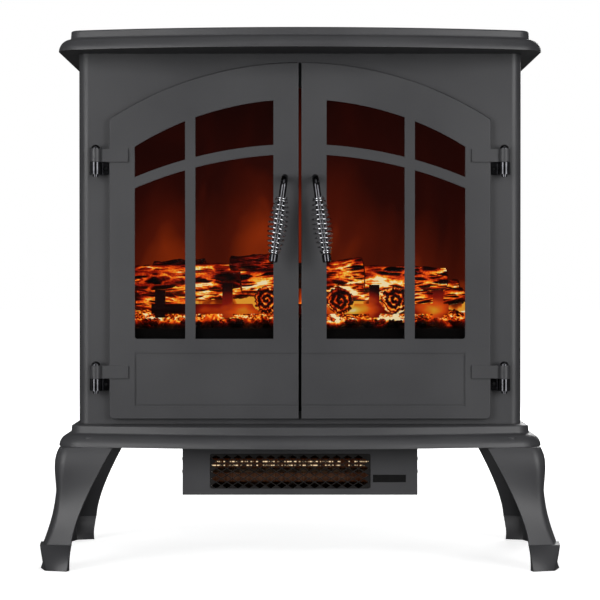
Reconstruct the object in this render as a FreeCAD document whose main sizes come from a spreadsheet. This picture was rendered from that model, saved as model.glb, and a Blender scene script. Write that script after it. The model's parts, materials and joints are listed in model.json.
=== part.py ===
# A freestanding electric stove with arched double doors, a log-fire display and a
# quartz heater below the plinth. Millimetres, origin on the floor under the middle,
# doors towards -Y, +Z up. "Right" is +X.

import FreeCAD, Part
import math
import os
import Sketcher
from FreeCAD import Placement, Rotation, Vector

doc = FreeCAD.newDocument("ElectricStove")
sheet = doc.addObject("Spreadsheet::Sheet", "Sizes")

sizes = {
    # top plate and plinth, which share one moulded outline
    "stove_height": 620,
    "plate_half_width": 280,
    "nose_overhang": 75,
    "rear_overhang": 12,
    "plate_bow_radius": 1000,
    "plate_corner_radius": 30,
    "plate_height": 24,
    "plate_skin": 3,
    "rim_width": 20,
    "ovolo_width": 11.5,
    "ovolo_height": 14,
    "cove_size": 2.5,
    "bead_draft": 0.4,
    "bead_round": 2,
    "plinth_bottom": 139.5,
    # casing
    "plate_overhang": 21,
    "casing_front": 77.5,
    "casing_rear": 122.5,
    "casing_corner": 11.5,
    "casing_sheet": 1.5,
    "casing_lip": 14,
    "cover_sheet": 1.2,
    "opening_overlap": 17,
    "opening_sill": 14.5,
    # doors
    "door_thickness": 9.2,
    "door_gap": 0.8,
    "door_split": 1.6,
    "door_margin": 37,
    "door_sill": 6,
    "door_head": 11,
    "door_arch_radius": 406,
    "door_corner": 5,
    "door_edge_round": 1,
    "stile_outer": 29.5,
    "stile_inner": 30.9,
    "window_sill": 93.5,
    "top_rail": 43,
    "outer_pane": 58.8,
    "muntin_width": 11.8,
    "muntin_drop": 188,
    "muntin_radius": 493,
    "groove_width": 2.2,
    "groove_depth": 1.2,
    "rebate_width": 6.9,
    "rebate_depth": 4.2,
    "glass_thickness": 3.8,
    "glass_clearance": 0.3,
    # hinges
    "pin_offset": 15.7,
    "pin_forward": 12,
    "pin_radius": 3.2,
    "pin_clearance": 0.05,
    "barrel_radius": 6.7,
    "strap_height": 15,
    "bracket_height": 14,
    "barrel_gap": 0.5,
    "strap_reach": 22,
    "strap_thickness": 2.4,
    "upper_hinge": 290,
    "lower_hinge": 47.5,
    # handles
    "handle_x": 17.5,
    "handle_height": 271,
    "handle_radius": 4,
    "handle_bend": 12,
    "handle_reach": 32,
    "handle_lean": 8,
    "handle_length": 94.8,
    "coil_start": 22.5,
    "coil_length": 67,
    "coil_turns": 13,
    "coil_end_radius": 6.2,
    "coil_middle_radius": 12,
    "coil_wire": 2.1,
    "tip_radius": 5.25,
    "tip_length": 9.5,
    # legs
    "leg_inset": 3,
    "leg_front_inset": 26,
    "leg_wall": 4,
    "leg_bolt_radius": 3,
    # firebox
    "firebox_depth": 112,
    "liner_sheet": 1.2,
    "hearth_height": 98.5,
    "fascia_height": 111.5,
    "screen_thickness": 3,
    # heater
    "heater_half_width": 136.5,
    "heater_front": 95,
    "heater_rear": 75,
    "heater_height": 57.5,
    "heater_sheet": 1.2,
    "outlet_left_margin": 31.9,
    "outlet_right_margin": 54.5,
    "outlet_sill": 7.2,
    "outlet_height": 40.6,
    "mesh_pitch": 12.75,
    "mesh_rise": 8,
    "tube_radius": 5.5,
    "reflector_radius": 23,
    "wheel_radius": 22,
    "button_radius": 5.5,
    "button_proud": 0.3,
    "button_pitch": 18,
    "screw_radius": 1.5,
}

# Leg sections from the plinth down: height above the floor, corner shift outwards,
# length of each arm, how far an arm's end splays out, rounding of the corner.
leg_shape = {
    "leg_top": (139.5, 0, 62, 0.2, 12),
    "leg_knee": (116, 5, 54, 1, 13),
    "leg_waist": (82, 2, 34, 5, 6),
    "leg_shin": (57, 4.6, 26.6, 6, 4),
    "leg_ankle": (30, 13.5, 29.5, 5.5, 3),
    "foot_top": (30, 19, 35, 3, 2),
    "foot_middle": (14, 17, 30.5, 2, 3),
    "foot_sole": (0, 14, 25.5, 8, 3),
}
for level, numbers in leg_shape.items():
    for word, number in zip(("height", "shift", "arm", "splay", "round"), numbers):
        sizes[f"{level}_{word}"] = number


def text_of(size):
    return size.text if isinstance(size, Size) else repr(float(size))


def value_of(size):
    return size.value if isinstance(size, Size) else float(size)


class Size:
    """A number worked out from the sheet, with the expression that says how."""

    def __init__(self, text, value):
        self.text = text
        self.value = value

    def __add__(self, other):
        return Size(f"({self.text} + {text_of(other)})", self.value + value_of(other))

    def __radd__(self, other):
        return self + other

    def __sub__(self, other):
        return Size(f"({self.text} - {text_of(other)})", self.value - value_of(other))

    def __rsub__(self, other):
        return Size(f"({text_of(other)} - {self.text})", value_of(other) - self.value)

    def __neg__(self):
        return 0 - self

    def __mul__(self, other):
        return Size(f"({self.text} * {text_of(other)})", self.value * value_of(other))

    def __rmul__(self, other):
        return self * other

    def __truediv__(self, other):
        return Size(f"({self.text} / {text_of(other)})", self.value / value_of(other))


def root(size):
    return Size(f"sqrt({size.text})", math.sqrt(size.value))


class Named:
    """The sheet's sizes as attributes."""


S = Named()
for row, (name, number) in enumerate(sizes.items(), start=1):
    sheet.set(f"A{row}", name)
    sheet.set(f"B{row}", str(number))
    sheet.setAlias(f"B{row}", name)
    setattr(S, name, Size(f"Sizes.{name}", float(number)))
doc.recompute()

parts = {}


def node(item, name):
    item.Label = name
    parts[name] = item
    return item


def bind(item, path, size):
    item.setExpression(path, text_of(size))


# ---- solids from primitives and booleans ----

turns = {
    "x": Rotation(Vector(0, 0, 1), Vector(1, 0, 0)),
    "y": Rotation(Vector(0, 0, 1), Vector(0, 1, 0)),
    "-y": Rotation(Vector(0, 0, 1), Vector(0, -1, 0)),
    "-x": Rotation(Vector(0, 0, 1), Vector(-1, 0, 0)),
    "z": Rotation(),
}


def place(item, spot, axis="z"):
    item.Placement = Placement(Vector(), turns[axis])
    for letter, size in zip("xyz", spot):
        bind(item, f"Placement.Base.{letter}", size)
    return item


def block(name, low, high):
    item = doc.addObject("Part::Box", name)
    for side, start, end in zip(("Length", "Width", "Height"), low, high):
        bind(item, side, end - start)
    return place(item, low)


def rod(name, start, axis, radius, length):
    item = doc.addObject("Part::Cylinder", name)
    bind(item, "Radius", radius)
    bind(item, "Height", length)
    return place(item, start, axis)


def dome(name, base, axis, radius, height):
    item = doc.addObject("Part::Ellipsoid", name)
    bind(item, "Radius1", height)
    bind(item, "Radius2", radius)
    bind(item, "Radius3", radius)
    item.Angle1 = 0
    return place(item, base, axis)


def join(name, items):
    item = doc.addObject("Part::MultiFuse", name)
    item.Shapes = items
    return item


def group(name, items):
    item = doc.addObject("Part::Compound", name)
    item.Links = items
    return item


def cut(name, base, tools):
    item = doc.addObject("Part::Cut", name)
    item.Base = base
    item.Tool = tools[0] if len(tools) == 1 else join(name + "_tools", tools)
    return item


def mirror(name, source, normal, middle):
    item = doc.addObject("Part::Mirroring", name)
    item.Source = source
    item.Normal = normal
    for letter, size in zip("xyz", middle):
        bind(item, f"Base.{letter}", size)
    return item


def left_of(right_name):
    """The left-hand twin of a right-hand sub-part."""
    name = right_name.replace("right", "left")
    return node(mirror(name, parts[right_name], Vector(1, 0, 0), (0, 0, 0)), name)


def screw(name, face, axis):
    """A pan-head screw whose head rests on the face and whose shank goes the other way."""
    sign = -1 if axis.startswith("-") else 1
    letter = "xyz".index(axis[-1])
    start = list(face)
    start[letter] = face[letter] - sign * 5
    shank = rod(name + "_shank", start, axis, S.screw_radius, 5.2)
    head = dome(name + "_head", face, axis, S.screw_radius * 1.9, 1.3)
    return join(name, [shank, head])


# ---- sketches and the features made from them ----


def new_body(name):
    return node(doc.addObject("PartDesign::Body", name), name)


def arc_centre(start, end, radius, turn):
    """Centre of the arc that leaves start and turns left (1) or right (-1) to end."""
    chord = end - start
    rise = math.sqrt(radius * radius - chord.Length * chord.Length / 4)
    side = Vector(-chord.y, chord.x, 0).normalize()
    return (start + end) * 0.5 + side * (turn * rise)


def draw_edge(outline, corner, following):
    """Line or arc from one corner to the next: its number, then which of its ends comes first."""
    start = Vector(value_of(corner[0]), value_of(corner[1]), 0)
    end = Vector(value_of(following[0]), value_of(following[1]), 0)
    if len(corner) == 2:
        return outline.addGeometry(Part.LineSegment(start, end)), 1, 2
    radius, turn = corner[2:]
    centre = arc_centre(start, end, value_of(radius), turn)
    first, last = (start, end) if turn > 0 else (end, start)
    angles = [math.atan2(p.y - centre.y, p.x - centre.x) for p in (first, last)]
    circle = Part.Circle(centre, Vector(0, 0, 1), value_of(radius))
    edge = outline.addGeometry(Part.ArcOfCircle(circle, *angles))
    mark = outline.addConstraint(Sketcher.Constraint("Radius", edge, value_of(radius)))
    bind(outline, f"Constraints[{mark}]", radius)
    return (edge, 1, 2) if turn > 0 else (edge, 2, 1)


def hold_point(outline, edge, end, spot):
    """Ties one point of an edge to its place from the sketch's origin."""
    for kind, size in zip(("DistanceX", "DistanceY"), spot[:2]):
        mark = outline.addConstraint(Sketcher.Constraint(kind, -1, 1, edge, end, value_of(size)))
        bind(outline, f"Constraints[{mark}]", size)


def draw_run(outline, corners, closed):
    """Each corner is (x, y), or (x, y, radius, turn) where an arc leaves it."""
    following = corners[1:] + corners[:1] if closed else corners[1:]
    edges = [draw_edge(outline, *pair) for pair in zip(corners, following)]
    for (edge, _, tail), (after, head, _) in zip(edges, edges[1:] + edges[:1 if closed else 0]):
        outline.addConstraint(Sketcher.Constraint("Coincident", edge, tail, after, head))
    for (edge, head, _), corner in zip(edges, corners):
        hold_point(outline, edge, head, corner)
    if not closed:
        hold_point(outline, edges[-1][0], edges[-1][2], corners[-1])


def draw_circle(outline, x, y, radius):
    circle = Part.Circle(Vector(value_of(x), value_of(y), 0), Vector(0, 0, 1), value_of(radius))
    edge = outline.addGeometry(circle)
    mark = outline.addConstraint(Sketcher.Constraint("Radius", edge, value_of(radius)))
    bind(outline, f"Constraints[{mark}]", radius)
    hold_point(outline, edge, 3, (x, y))


def sketch(body, name, plane, level, loops=(), circles=(), path=None):
    """A sketch on one of the body's planes, moved by level along the plane's normal.

    The XZ plane's normal is -Y, so there a level is a distance to the front."""
    outline = body.newObject("Sketcher::SketchObject", name)
    planes = {feature.Role: feature for feature in body.Origin.OriginFeatures}
    outline.AttachmentSupport = (planes[plane + "_Plane"], "")
    outline.MapMode = "FlatFace"
    bind(outline, "AttachmentOffset.Base.z", level)
    for loop in loops:
        draw_run(outline, loop, True)
    for circle in circles:
        draw_circle(outline, *circle)
    if path:
        draw_run(outline, path, False)
    return outline


def pad(body, outline, length, reverse=False):
    feature = body.newObject("PartDesign::Pad", outline.Name + "_pad")
    feature.Profile = outline
    bind(feature, "Length", length)
    feature.Reversed = reverse
    return feature


def pocket(body, outline, depth, reverse=False):
    """A pocket, which has to take something away."""
    doc.recompute()
    before = body.Shape.Volume
    feature = body.newObject("PartDesign::Pocket", outline.Name + "_pocket")
    feature.Profile = outline
    bind(feature, "Length", depth)
    feature.Reversed = reverse
    doc.recompute()
    if body.Shape.Volume > before - 1:
        raise ValueError(f"{outline.Name} cuts nothing")
    return feature


def rectangle(left, low, right, high):
    return [(left, low), (right, low), (right, high), (left, high)]


def rounded(left, low, right, high, radius):
    return [(left + radius, low), (right - radius, low, radius, 1),
            (right, low + radius), (right, high - radius, radius, 1),
            (right - radius, high), (left + radius, high, radius, 1),
            (left, high - radius), (left, low + radius, radius, 1)]


# ---- levels and planes that several sub-parts share ----

plate_nose = S.casing_front + S.nose_overhang
plate_rear = S.casing_rear + S.rear_overhang
plinth_top = S.plinth_bottom + S.plate_height
top_under = S.stove_height - S.plate_height
casing_side = S.plate_half_width - S.plate_overhang
sheet_back = S.casing_front - S.casing_sheet
door_outer = casing_side - S.door_margin
door_low = plinth_top + S.door_sill
arch_height = top_under - S.door_head - S.door_arch_radius
door_back = S.casing_front + S.door_gap
door_front = door_back + S.door_thickness
pin_x = door_outer + S.pin_offset
pin_y = -(S.casing_front + S.pin_forward)
opening_side = door_outer - S.opening_overlap
opening_low = plinth_top + S.opening_sill
opening_arch = S.door_arch_radius - S.opening_overlap
liner_side = opening_side + 7
hearth = plinth_top + S.hearth_height
screen_front = S.firebox_depth - sheet_back
heater_low = S.plinth_bottom - S.heater_height
outlet_left = S.heater_half_width - S.outlet_left_margin
outlet_right = S.heater_half_width - S.outlet_right_margin
handle_z = arch_height + S.handle_height
window_low = door_low + S.window_sill
window_side = door_outer - S.stile_outer
window_arch = S.door_arch_radius - S.top_rail


def arch(x, radius, centre):
    """Height of an arch of this radius and centre height above x."""
    return centre + root(radius * radius - x * x)


# ---- top plate and plinth ----


def plate_run(inset):
    """Side, corner, bowed front, corner, side: the moulded edge moved in by inset."""
    side = S.plate_half_width - inset
    bow = S.plate_bow_radius - inset
    corner = S.plate_corner_radius - inset
    reach = S.plate_bow_radius - S.plate_corner_radius
    across = S.plate_half_width - S.plate_corner_radius
    bow_centre = S.plate_bow_radius - plate_nose
    along = root(reach * reach - across * across)
    corner_y = bow_centre - along
    front_x = across * bow / reach
    front_y = bow_centre - along * bow / reach
    rear = plate_rear
    return [(-side, rear), (-side, corner_y, corner, 1), (-front_x, front_y, bow, 1),
            (front_x, front_y, corner, 1), (side, corner_y), (side, rear)]


def moulded_plate(name, low, opens_up):
    """A hollow plate with an ovolo and bead along its front and sides."""
    body = new_body(name)
    run = sketch(body, name + "_run", "XY", low, path=plate_run(0))
    edge = -S.plate_half_width
    shoulder = S.ovolo_width
    cove_top = S.ovolo_height + S.cove_size
    bead_foot = shoulder + S.cove_size
    bead_top = S.plate_height - S.bead_round
    bulge = (shoulder * shoulder + S.ovolo_height * S.ovolo_height) / (shoulder * 2)
    corners = [(edge, low), (edge + S.rim_width, low),
               (edge + S.rim_width, low + S.plate_height),
               (edge + bead_foot + S.bead_draft + S.bead_round, low + S.plate_height, S.bead_round, 1),
               (edge + bead_foot + S.bead_draft, low + bead_top),
               (edge + bead_foot, low + cove_top, S.cove_size, -1),
               (edge + shoulder, low + S.ovolo_height, bulge, 1)]
    profile = sketch(body, name + "_moulding", "XZ", -plate_rear, [corners])
    rim = body.newObject("PartDesign::AdditivePipe", name + "_rim")
    rim.Profile = profile
    rim.Spine = (run, [])
    inner = plate_run(S.rim_width - 1)
    top_skin = sketch(body, name + "_top_skin", "XY", low + S.plate_height - S.plate_skin, [inner])
    pad(body, top_skin, S.plate_skin)
    low_skin = sketch(body, name + "_low_skin", "XY", low, [inner])
    pad(body, low_skin, S.plate_skin)
    half = S.plate_half_width - S.rim_width
    rear_rim = sketch(body, name + "_rear_rim", "XY", low,
                      [rectangle(-half - 1, plate_rear - S.plate_skin, half + 1, plate_rear)])
    pad(body, rear_rim, S.plate_height)
    mouth_level = low + S.plate_height + 1 if opens_up else low + S.plate_skin + 1
    inside = casing_side - S.casing_lip - 16
    mouth = sketch(body, name + "_mouth", "XY", mouth_level,
                   [rectangle(-inside, -S.casing_front + 22, inside, S.casing_rear - 22)])
    pocket(body, mouth, S.plate_skin + 2)
    return body


leg_corner_x = S.plate_half_width - S.leg_inset
leg_corner_y = S.leg_front_inset - plate_nose
rear_corner_y = plate_rear - S.leg_inset
leg_middle_y = (leg_corner_y + rear_corner_y) / 2
bolt_far = 34
bolt_near = 14.5


def leg_bolt_places():
    """Two bolts beside each leg's corner, at all four legs."""
    places = []
    for side in (-1, 1):
        for corner_y, inward in ((leg_corner_y, 1), (rear_corner_y, -1)):
            for back_x, back_y in ((bolt_far, bolt_near), (bolt_near, bolt_far)):
                places.append(((leg_corner_x - back_x) * side, corner_y + inward * back_y))
    return places


def top_plate():
    moulded_plate("top_plate", top_under, False)


def base_plinth():
    body = moulded_plate("base_plinth", S.plinth_bottom, True)
    bosses = sketch(body, "bolt_bosses", "XY", S.plinth_bottom + S.plate_skin - 0.5,
                    circles=[(x, y, 7) for x, y in leg_bolt_places()])
    pad(body, bosses, 8.5)
    holes = sketch(body, "bolt_holes", "XY", S.plinth_bottom - 1,
                   circles=[(x, y, S.leg_bolt_radius + 0.1) for x, y in leg_bolt_places()])
    pocket(body, holes, 10.5, reverse=True)


# ---- casing ----

cover_screws = [(x, z) for x in (-1, 1) for z in (0.1, 0.5, 0.9)]


def cover_screw_places():
    """Screws down both sides of the back cover: x and z."""
    tall = top_under - plinth_top
    return [((casing_side - S.casing_lip / 2) * x, plinth_top + tall * z) for x, z in cover_screws]


def casing_loop(lip):
    """Plan of the wrapped sheet: sides and front with rounded corners and rear lips."""
    outer = casing_side
    inner = casing_side - S.casing_sheet
    front = -S.casing_front
    rear = S.casing_rear
    bend = S.casing_corner
    inner_bend = bend - S.casing_sheet
    return [(-outer, rear), (-outer, front + bend, bend, 1), (-outer + bend, front),
            (outer - bend, front, bend, 1), (outer, front + bend), (outer, rear),
            (outer - lip, rear), (outer - lip, rear - S.casing_sheet),
            (inner, rear - S.casing_sheet), (inner, front + bend, inner_bend, -1),
            (outer - bend, -sheet_back), (-outer + bend, -sheet_back, inner_bend, -1),
            (-inner, front + bend), (-inner, rear - S.casing_sheet),
            (-outer + lip, rear - S.casing_sheet), (-outer + lip, rear)]


def outer_casing():
    body = new_body("outer_casing")
    wrap = sketch(body, "casing_wrap", "XY", plinth_top, [casing_loop(S.casing_lip)])
    pad(body, wrap, top_under - plinth_top)
    front = -S.casing_front + 1
    inside = casing_side - S.casing_lip
    out = casing_side - 0.5
    rear = S.casing_rear - S.casing_sheet
    lip = [(-out, rear), (-out, front + S.casing_lip), (-out + S.casing_lip, front),
           (out - S.casing_lip, front), (out, front + S.casing_lip), (out, rear),
           (inside, rear), (inside, front + S.casing_lip), (-inside, front + S.casing_lip),
           (-inside, rear)]
    top_lip = sketch(body, "casing_top_lip", "XY", top_under - S.casing_sheet, [lip])
    pad(body, top_lip, S.casing_sheet)
    spring = arch(opening_side, opening_arch, arch_height)
    mouth = [(-opening_side, opening_low), (opening_side, opening_low),
             (opening_side, spring, opening_arch, 1), (-opening_side, spring)]
    pocket(body, sketch(body, "casing_mouth", "XZ", S.casing_front + 1, [mouth]), S.casing_sheet + 2)
    screws = sketch(body, "casing_screw_holes", "XZ", -S.casing_rear - 1,
                    circles=[(x, z, S.screw_radius + 0.1) for x, z in cover_screw_places()])
    pocket(body, screws, S.casing_sheet + 2, reverse=True)
    leaf_screws = sketch(body, "leaf_screw_holes", "XZ", S.casing_front + 1,
                         circles=[(side * (pin_x - 10.2), z, S.screw_radius + 0.1)
                                  for side in (-1, 1) for z in leaf_screw_heights()])
    pocket(body, leaf_screws, S.casing_sheet + 2)


def back_cover():
    """Flat rear sheet with two banks of slots and a hole for the inlet bush."""
    body = new_body("back_cover")
    edge = 3
    side = casing_side - edge
    plate = sketch(body, "cover_plate", "XZ", -S.casing_rear,
                   [rounded(-side, plinth_top + edge, side, top_under - edge, S.casing_corner)])
    pad(body, plate, S.cover_sheet, reverse=True)
    holes = [(x, z, S.screw_radius + 0.1) for x, z in cover_screw_places()]
    holes.append((gland_x, gland_z, gland_radius + 0.2))
    drilled = sketch(body, "cover_holes", "XZ", -S.casing_rear + 1, circles=holes)
    pocket(body, drilled, S.cover_sheet + 2)
    bank = side * 0.22
    for label, middle, low in (("low", 0.45, 30), ("high_left", -0.5, 330), ("high_right", 0.5, 330)):
        first = rounded(side * middle - bank, plinth_top + low, side * middle + bank,
                        plinth_top + low + 5, 2.4)
        slot = sketch(body, f"slot_{label}", "XZ", -S.casing_rear + 1, [first])
        cutting = pocket(body, slot, S.cover_sheet + 2)
        rows = body.newObject("PartDesign::LinearPattern", f"slots_{label}")
        rows.Originals = [cutting]
        rows.Direction = (slot, ["V_Axis"])
        rows.Length = 66
        rows.Occurrences = 7
        body.Tip = rows
        doc.recompute()


def casing_floor():
    """Sheet across the foot of the casing, its front corners cut clear of the casing's bends."""
    body = new_body("casing_floor")
    side = casing_side - S.casing_sheet - 0.5
    front = -sheet_back + 0.5
    rear = S.casing_rear - S.casing_sheet - 0.5
    bend = S.casing_corner
    plan = [(-side + bend, front), (side - bend, front), (side, front + bend), (side, rear),
            (-side, rear), (-side, front + bend)]
    duct = rectangle(-60, -20, 60, 20)
    pad(body, sketch(body, "floor_plan", "XY", plinth_top, [plan, duct]), S.casing_sheet)


gland_x = -200
gland_z = plinth_top + 34
gland_radius = 8


def cord_gland():
    """Moulded bush in the back cover, where a supply lead would come out."""
    rear = S.casing_rear + S.cover_sheet
    flange = rod("gland_flange", (gland_x, rear, gland_z), "y", 12, 3.5)
    barrel = rod("gland_barrel", (gland_x, rear - 14, gland_z), "y", gland_radius, 15)
    bore = rod("gland_bore", (gland_x, rear - 15, gland_z), "y", 4, 24)
    node(cut("cord_gland", join("gland_body", [flange, barrel]), [bore]), "cord_gland")


# ---- legs ----


def leg_loop(level, wall):
    """V-shaped section: two arms of one wall from a rounded corner, ends square to the arms."""
    shift = getattr(S, level + "_shift")
    arm = getattr(S, level + "_arm")
    splay = getattr(S, level + "_splay")
    back = getattr(S, level + "_round")
    x = leg_corner_x + shift
    y = leg_corner_y - shift
    along = root(arm * arm + splay * splay)
    bend = back * (arm + splay) / (arm - splay)
    inner = wall * along / (arm + splay)
    wall_arm = wall * arm / along
    wall_splay = wall * splay / along
    return [(x - arm, y - splay), (x - back * arm / along, y - back * splay / along, bend, 1),
            (x + back * splay / along, y + back * arm / along), (x + splay, y + arm),
            (x + splay - wall_arm, y + arm + wall_splay), (x - inner, y + inner),
            (x - arm - wall_splay, y - splay + wall_arm)]


def loft(body, name, levels, wall):
    outlines = []
    for level in levels:
        height = S.plinth_bottom if level == "leg_top" else getattr(S, level + "_height")
        outlines.append(sketch(body, f"{name}_{level}", "XY", height, [leg_loop(level, wall)]))
    feature = body.newObject("PartDesign::AdditiveLoft", name)
    feature.Profile = outlines[0]
    feature.Sections = outlines[1:]
    return feature


def front_leg():
    body = new_body("leg_front_right")
    loft(body, "leg_shell", ["leg_top", "leg_knee", "leg_waist", "leg_shin", "leg_ankle"], S.leg_wall)
    loft(body, "foot", ["foot_top", "foot_middle", "foot_sole"], S.leg_wall * 2.2)
    corners = leg_loop("leg_top", S.leg_wall / 2)
    flange = sketch(body, "leg_flange", "XY", S.plinth_bottom - S.leg_wall, [[corners[6], corners[5], corners[4]]])
    pad(body, flange, S.leg_wall)
    x = leg_corner_x
    y = leg_corner_y
    holes = [(x - bolt_far, y + bolt_near, S.leg_bolt_radius + 0.3),
             (x - bolt_near, y + bolt_far, S.leg_bolt_radius + 0.3)]
    pocket(body, sketch(body, "flange_holes", "XY", S.plinth_bottom + 1, circles=holes), S.leg_wall + 2)


def legs():
    front_leg()
    rear = mirror("leg_rear_right", parts["leg_front_right"], Vector(0, 1, 0), (0, leg_middle_y, 0))
    node(rear, "leg_rear_right")
    left_of("leg_front_right")
    left_of("leg_rear_right")


def leg_bolts():
    bolts = []
    under = S.plinth_bottom - S.leg_wall
    for index, (x, y) in enumerate(leg_bolt_places()):
        hexagon = doc.addObject("Part::Prism", f"bolt_head_{index}")
        hexagon.Polygon = 6
        bind(hexagon, "Circumradius", S.leg_bolt_radius * 1.9)
        hexagon.Height = 4
        place(hexagon, (x, y, under - 4))
        shank = rod(f"bolt_shank_{index}", (x, y, under - 1), "z", S.leg_bolt_radius, S.leg_wall + 9)
        bolts.append(join(f"bolt_{index}", [hexagon, shank]))
    node(group("leg_bolts", bolts), "leg_bolts")


# ---- hinges ----

strap_lows = {"upper": arch_height + S.upper_hinge, "lower": door_low + S.lower_hinge}


def bracket_low(strap_low):
    return strap_low - S.barrel_gap - S.bracket_height


def leaf_screw_heights():
    return [bracket_low(low) + S.bracket_height / 2 for low in strap_lows.values()]


def hinge_bracket(name, side, low):
    """Knuckle below the door's strap, on a leaf screwed to the casing."""
    high = low + S.bracket_height
    leaf_front = -S.casing_front - 1.8
    left = pin_x - 14 if side > 0 else -pin_x - 8
    right = pin_x + 8 if side > 0 else -pin_x + 14
    leaf = block(name + "_leaf", (left, leaf_front, low), (right, -S.casing_front, high))
    web = block(name + "_web", (side * pin_x - 4.5, pin_y + 5, low), (side * pin_x + 4.5, leaf_front + 0.5, high))
    knuckle = rod(name + "_knuckle", (side * pin_x, pin_y, low), "z", S.barrel_radius, S.bracket_height)
    bore = rod(name + "_bore", (side * pin_x, pin_y, low - 1), "z", S.pin_radius + 0.01, S.bracket_height + 2)
    hole = rod(name + "_hole", (side * (pin_x - 10.2), leaf_front - 1, low + S.bracket_height / 2), "y",
               S.screw_radius + 0.1, 4)
    return cut(name, join(name + "_body", [leaf, web, knuckle]), [bore, hole])


def hinge_pin(name, side, low):
    """Straight pin through both knuckles with a domed head above the strap."""
    foot = bracket_low(low) - 3
    top = low + S.strap_height + 0.3
    shank = rod(name + "_shank", (side * pin_x, pin_y, foot), "z", S.pin_radius, top - foot + 1)
    head = dome(name + "_head", (side * pin_x, pin_y, top), "z", 5.25, 4.7)
    return join(name, [shank, head])


def hinges():
    brackets = []
    pins = []
    for height, low in strap_lows.items():
        for side, word in ((-1, "left"), (1, "right")):
            brackets.append(hinge_bracket(f"bracket_{height}_{word}", side, bracket_low(low)))
            pins.append(hinge_pin(f"pin_{height}_{word}", side, low))
    node(group("hinge_brackets", brackets), "hinge_brackets")
    node(group("hinge_pins", pins), "hinge_pins")


# ---- doors; the right one is built and the left one mirrors it ----


def pane(inner, outer, low_radius=None, corner=None):
    """One window light: arched top, arched foot for an upper light, flat for a lower one."""
    muntin_centre = arch_height - S.muntin_drop
    if low_radius is None:
        top = S.muntin_radius - S.muntin_width / 2
        foot = [(inner, window_low), (outer, window_low)]
        if corner is not None:
            foot = [(inner, window_low), (outer - corner, window_low, corner, 1), (outer, window_low + corner)]
        return foot + [(outer, arch(outer, top, muntin_centre), top, 1), (inner, arch(inner, top, muntin_centre))]
    return [(inner, arch(inner, low_radius, muntin_centre), low_radius, -1),
            (outer, arch(outer, low_radius, muntin_centre)),
            (outer, arch(outer, window_arch, arch_height), window_arch, 1),
            (inner, arch(inner, window_arch, arch_height))]


def glass_loop(clearance):
    """Outline of the rebate behind the window, or of the glass that lies in it."""
    left = S.stile_inner - S.rebate_width + clearance
    right = window_side + S.rebate_width - clearance
    low = window_low - S.rebate_width + clearance
    radius = window_arch + S.rebate_width - clearance
    return [(left, low), (right, low), (right, arch(right, radius, arch_height), radius, 1),
            (left, arch(left, radius, arch_height))]


def door_panel():
    body = new_body("door_right_panel")
    arch_r = S.door_arch_radius
    outline = [(S.door_split, door_low), (door_outer - S.door_corner, door_low, S.door_corner, 1),
               (door_outer, door_low + S.door_corner),
               (door_outer, arch(door_outer, arch_r, arch_height), arch_r, 1),
               (S.door_split, arch(S.door_split, arch_r, arch_height))]
    slab = pad(body, sketch(body, "door_slab", "XZ", door_back, [outline]), S.door_thickness)
    doc.recompute()
    front_edges = []
    for index, edge in enumerate(slab.Shape.Edges, start=1):
        if all(abs(v.Point.y + door_front.value) < 0.01 for v in edge.Vertexes):
            front_edges.append(f"Edge{index}")
    easing = body.newObject("PartDesign::Fillet", "door_edge")
    easing.Base = (slab, front_edges)
    bind(easing, "Radius", S.door_edge_round)
    doc.recompute()
    muntin_out = window_side - S.outer_pane
    muntin_in = muntin_out - S.muntin_width
    above = S.muntin_radius + S.muntin_width / 2
    lights = [pane(S.stile_inner, muntin_in), pane(muntin_out, window_side, corner=3),
              pane(S.stile_inner, muntin_in, above), pane(muntin_out, window_side, above)]
    pocket(body, sketch(body, "door_lights", "XZ", door_front + 1, lights), S.door_thickness + 2)
    rebate = sketch(body, "glass_rebate", "XZ", door_back - 1, [glass_loop(0)])
    pocket(body, rebate, S.rebate_depth + 1, reverse=True)
    groove_top = window_low - 16.4
    groove_low = door_low + 14.8
    wide = S.groove_width
    groove = [(0, groove_low), (window_side, groove_low), (window_side, groove_top), (0, groove_top),
              (0, groove_top - wide), (window_side - wide, groove_top - wide),
              (window_side - wide, groove_low + wide), (0, groove_low + wide)]
    pocket(body, sketch(body, "door_groove", "XZ", door_front + 1, [groove]), S.groove_depth + 1)
    hollow = rectangle(S.stile_inner, groove_low + 8, window_side - 4, groove_top - 1)
    pocket(body, sketch(body, "door_hollow", "XZ", door_back - 1, [hollow]), S.rebate_depth + 1, reverse=True)
    hole = sketch(body, "handle_hole", "XZ", door_front + 1, circles=[(S.handle_x, handle_z, S.handle_radius + 0.1)])
    pocket(body, hole, S.door_thickness + 2)


def door_glass():
    body = new_body("door_right_glass")
    level = door_back + S.rebate_depth - S.glass_thickness
    pad(body, sketch(body, "glass_sheet", "XZ", level, [glass_loop(S.glass_clearance)]), S.glass_thickness)


def door_clips():
    """Small turned clips that hold the glass in its rebate."""
    clip_back = -door_back + 1.5
    rebate_low = window_low - S.rebate_width
    rebate_left = S.stile_inner - S.rebate_width
    crown_x = window_side * 0.56
    crown = arch(crown_x, window_arch + S.rebate_width, arch_height)
    middle = window_low + 72
    corners = [(window_side * 0.35, rebate_low - 8, 20, 14), (window_side * 0.8, rebate_low - 8, 20, 14),
               (rebate_left - 16, middle, 22, 12), (crown_x - 9, crown - 4, 18, 16)]
    clips = []
    for index, (x, z, wide, tall) in enumerate(corners):
        tab = block(f"clip_tab_{index}", (x, -door_back, z), (x + wide, clip_back, z + tall))
        clips.append(tab)
    node(group("door_right_clips", clips), "door_right_clips")


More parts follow.
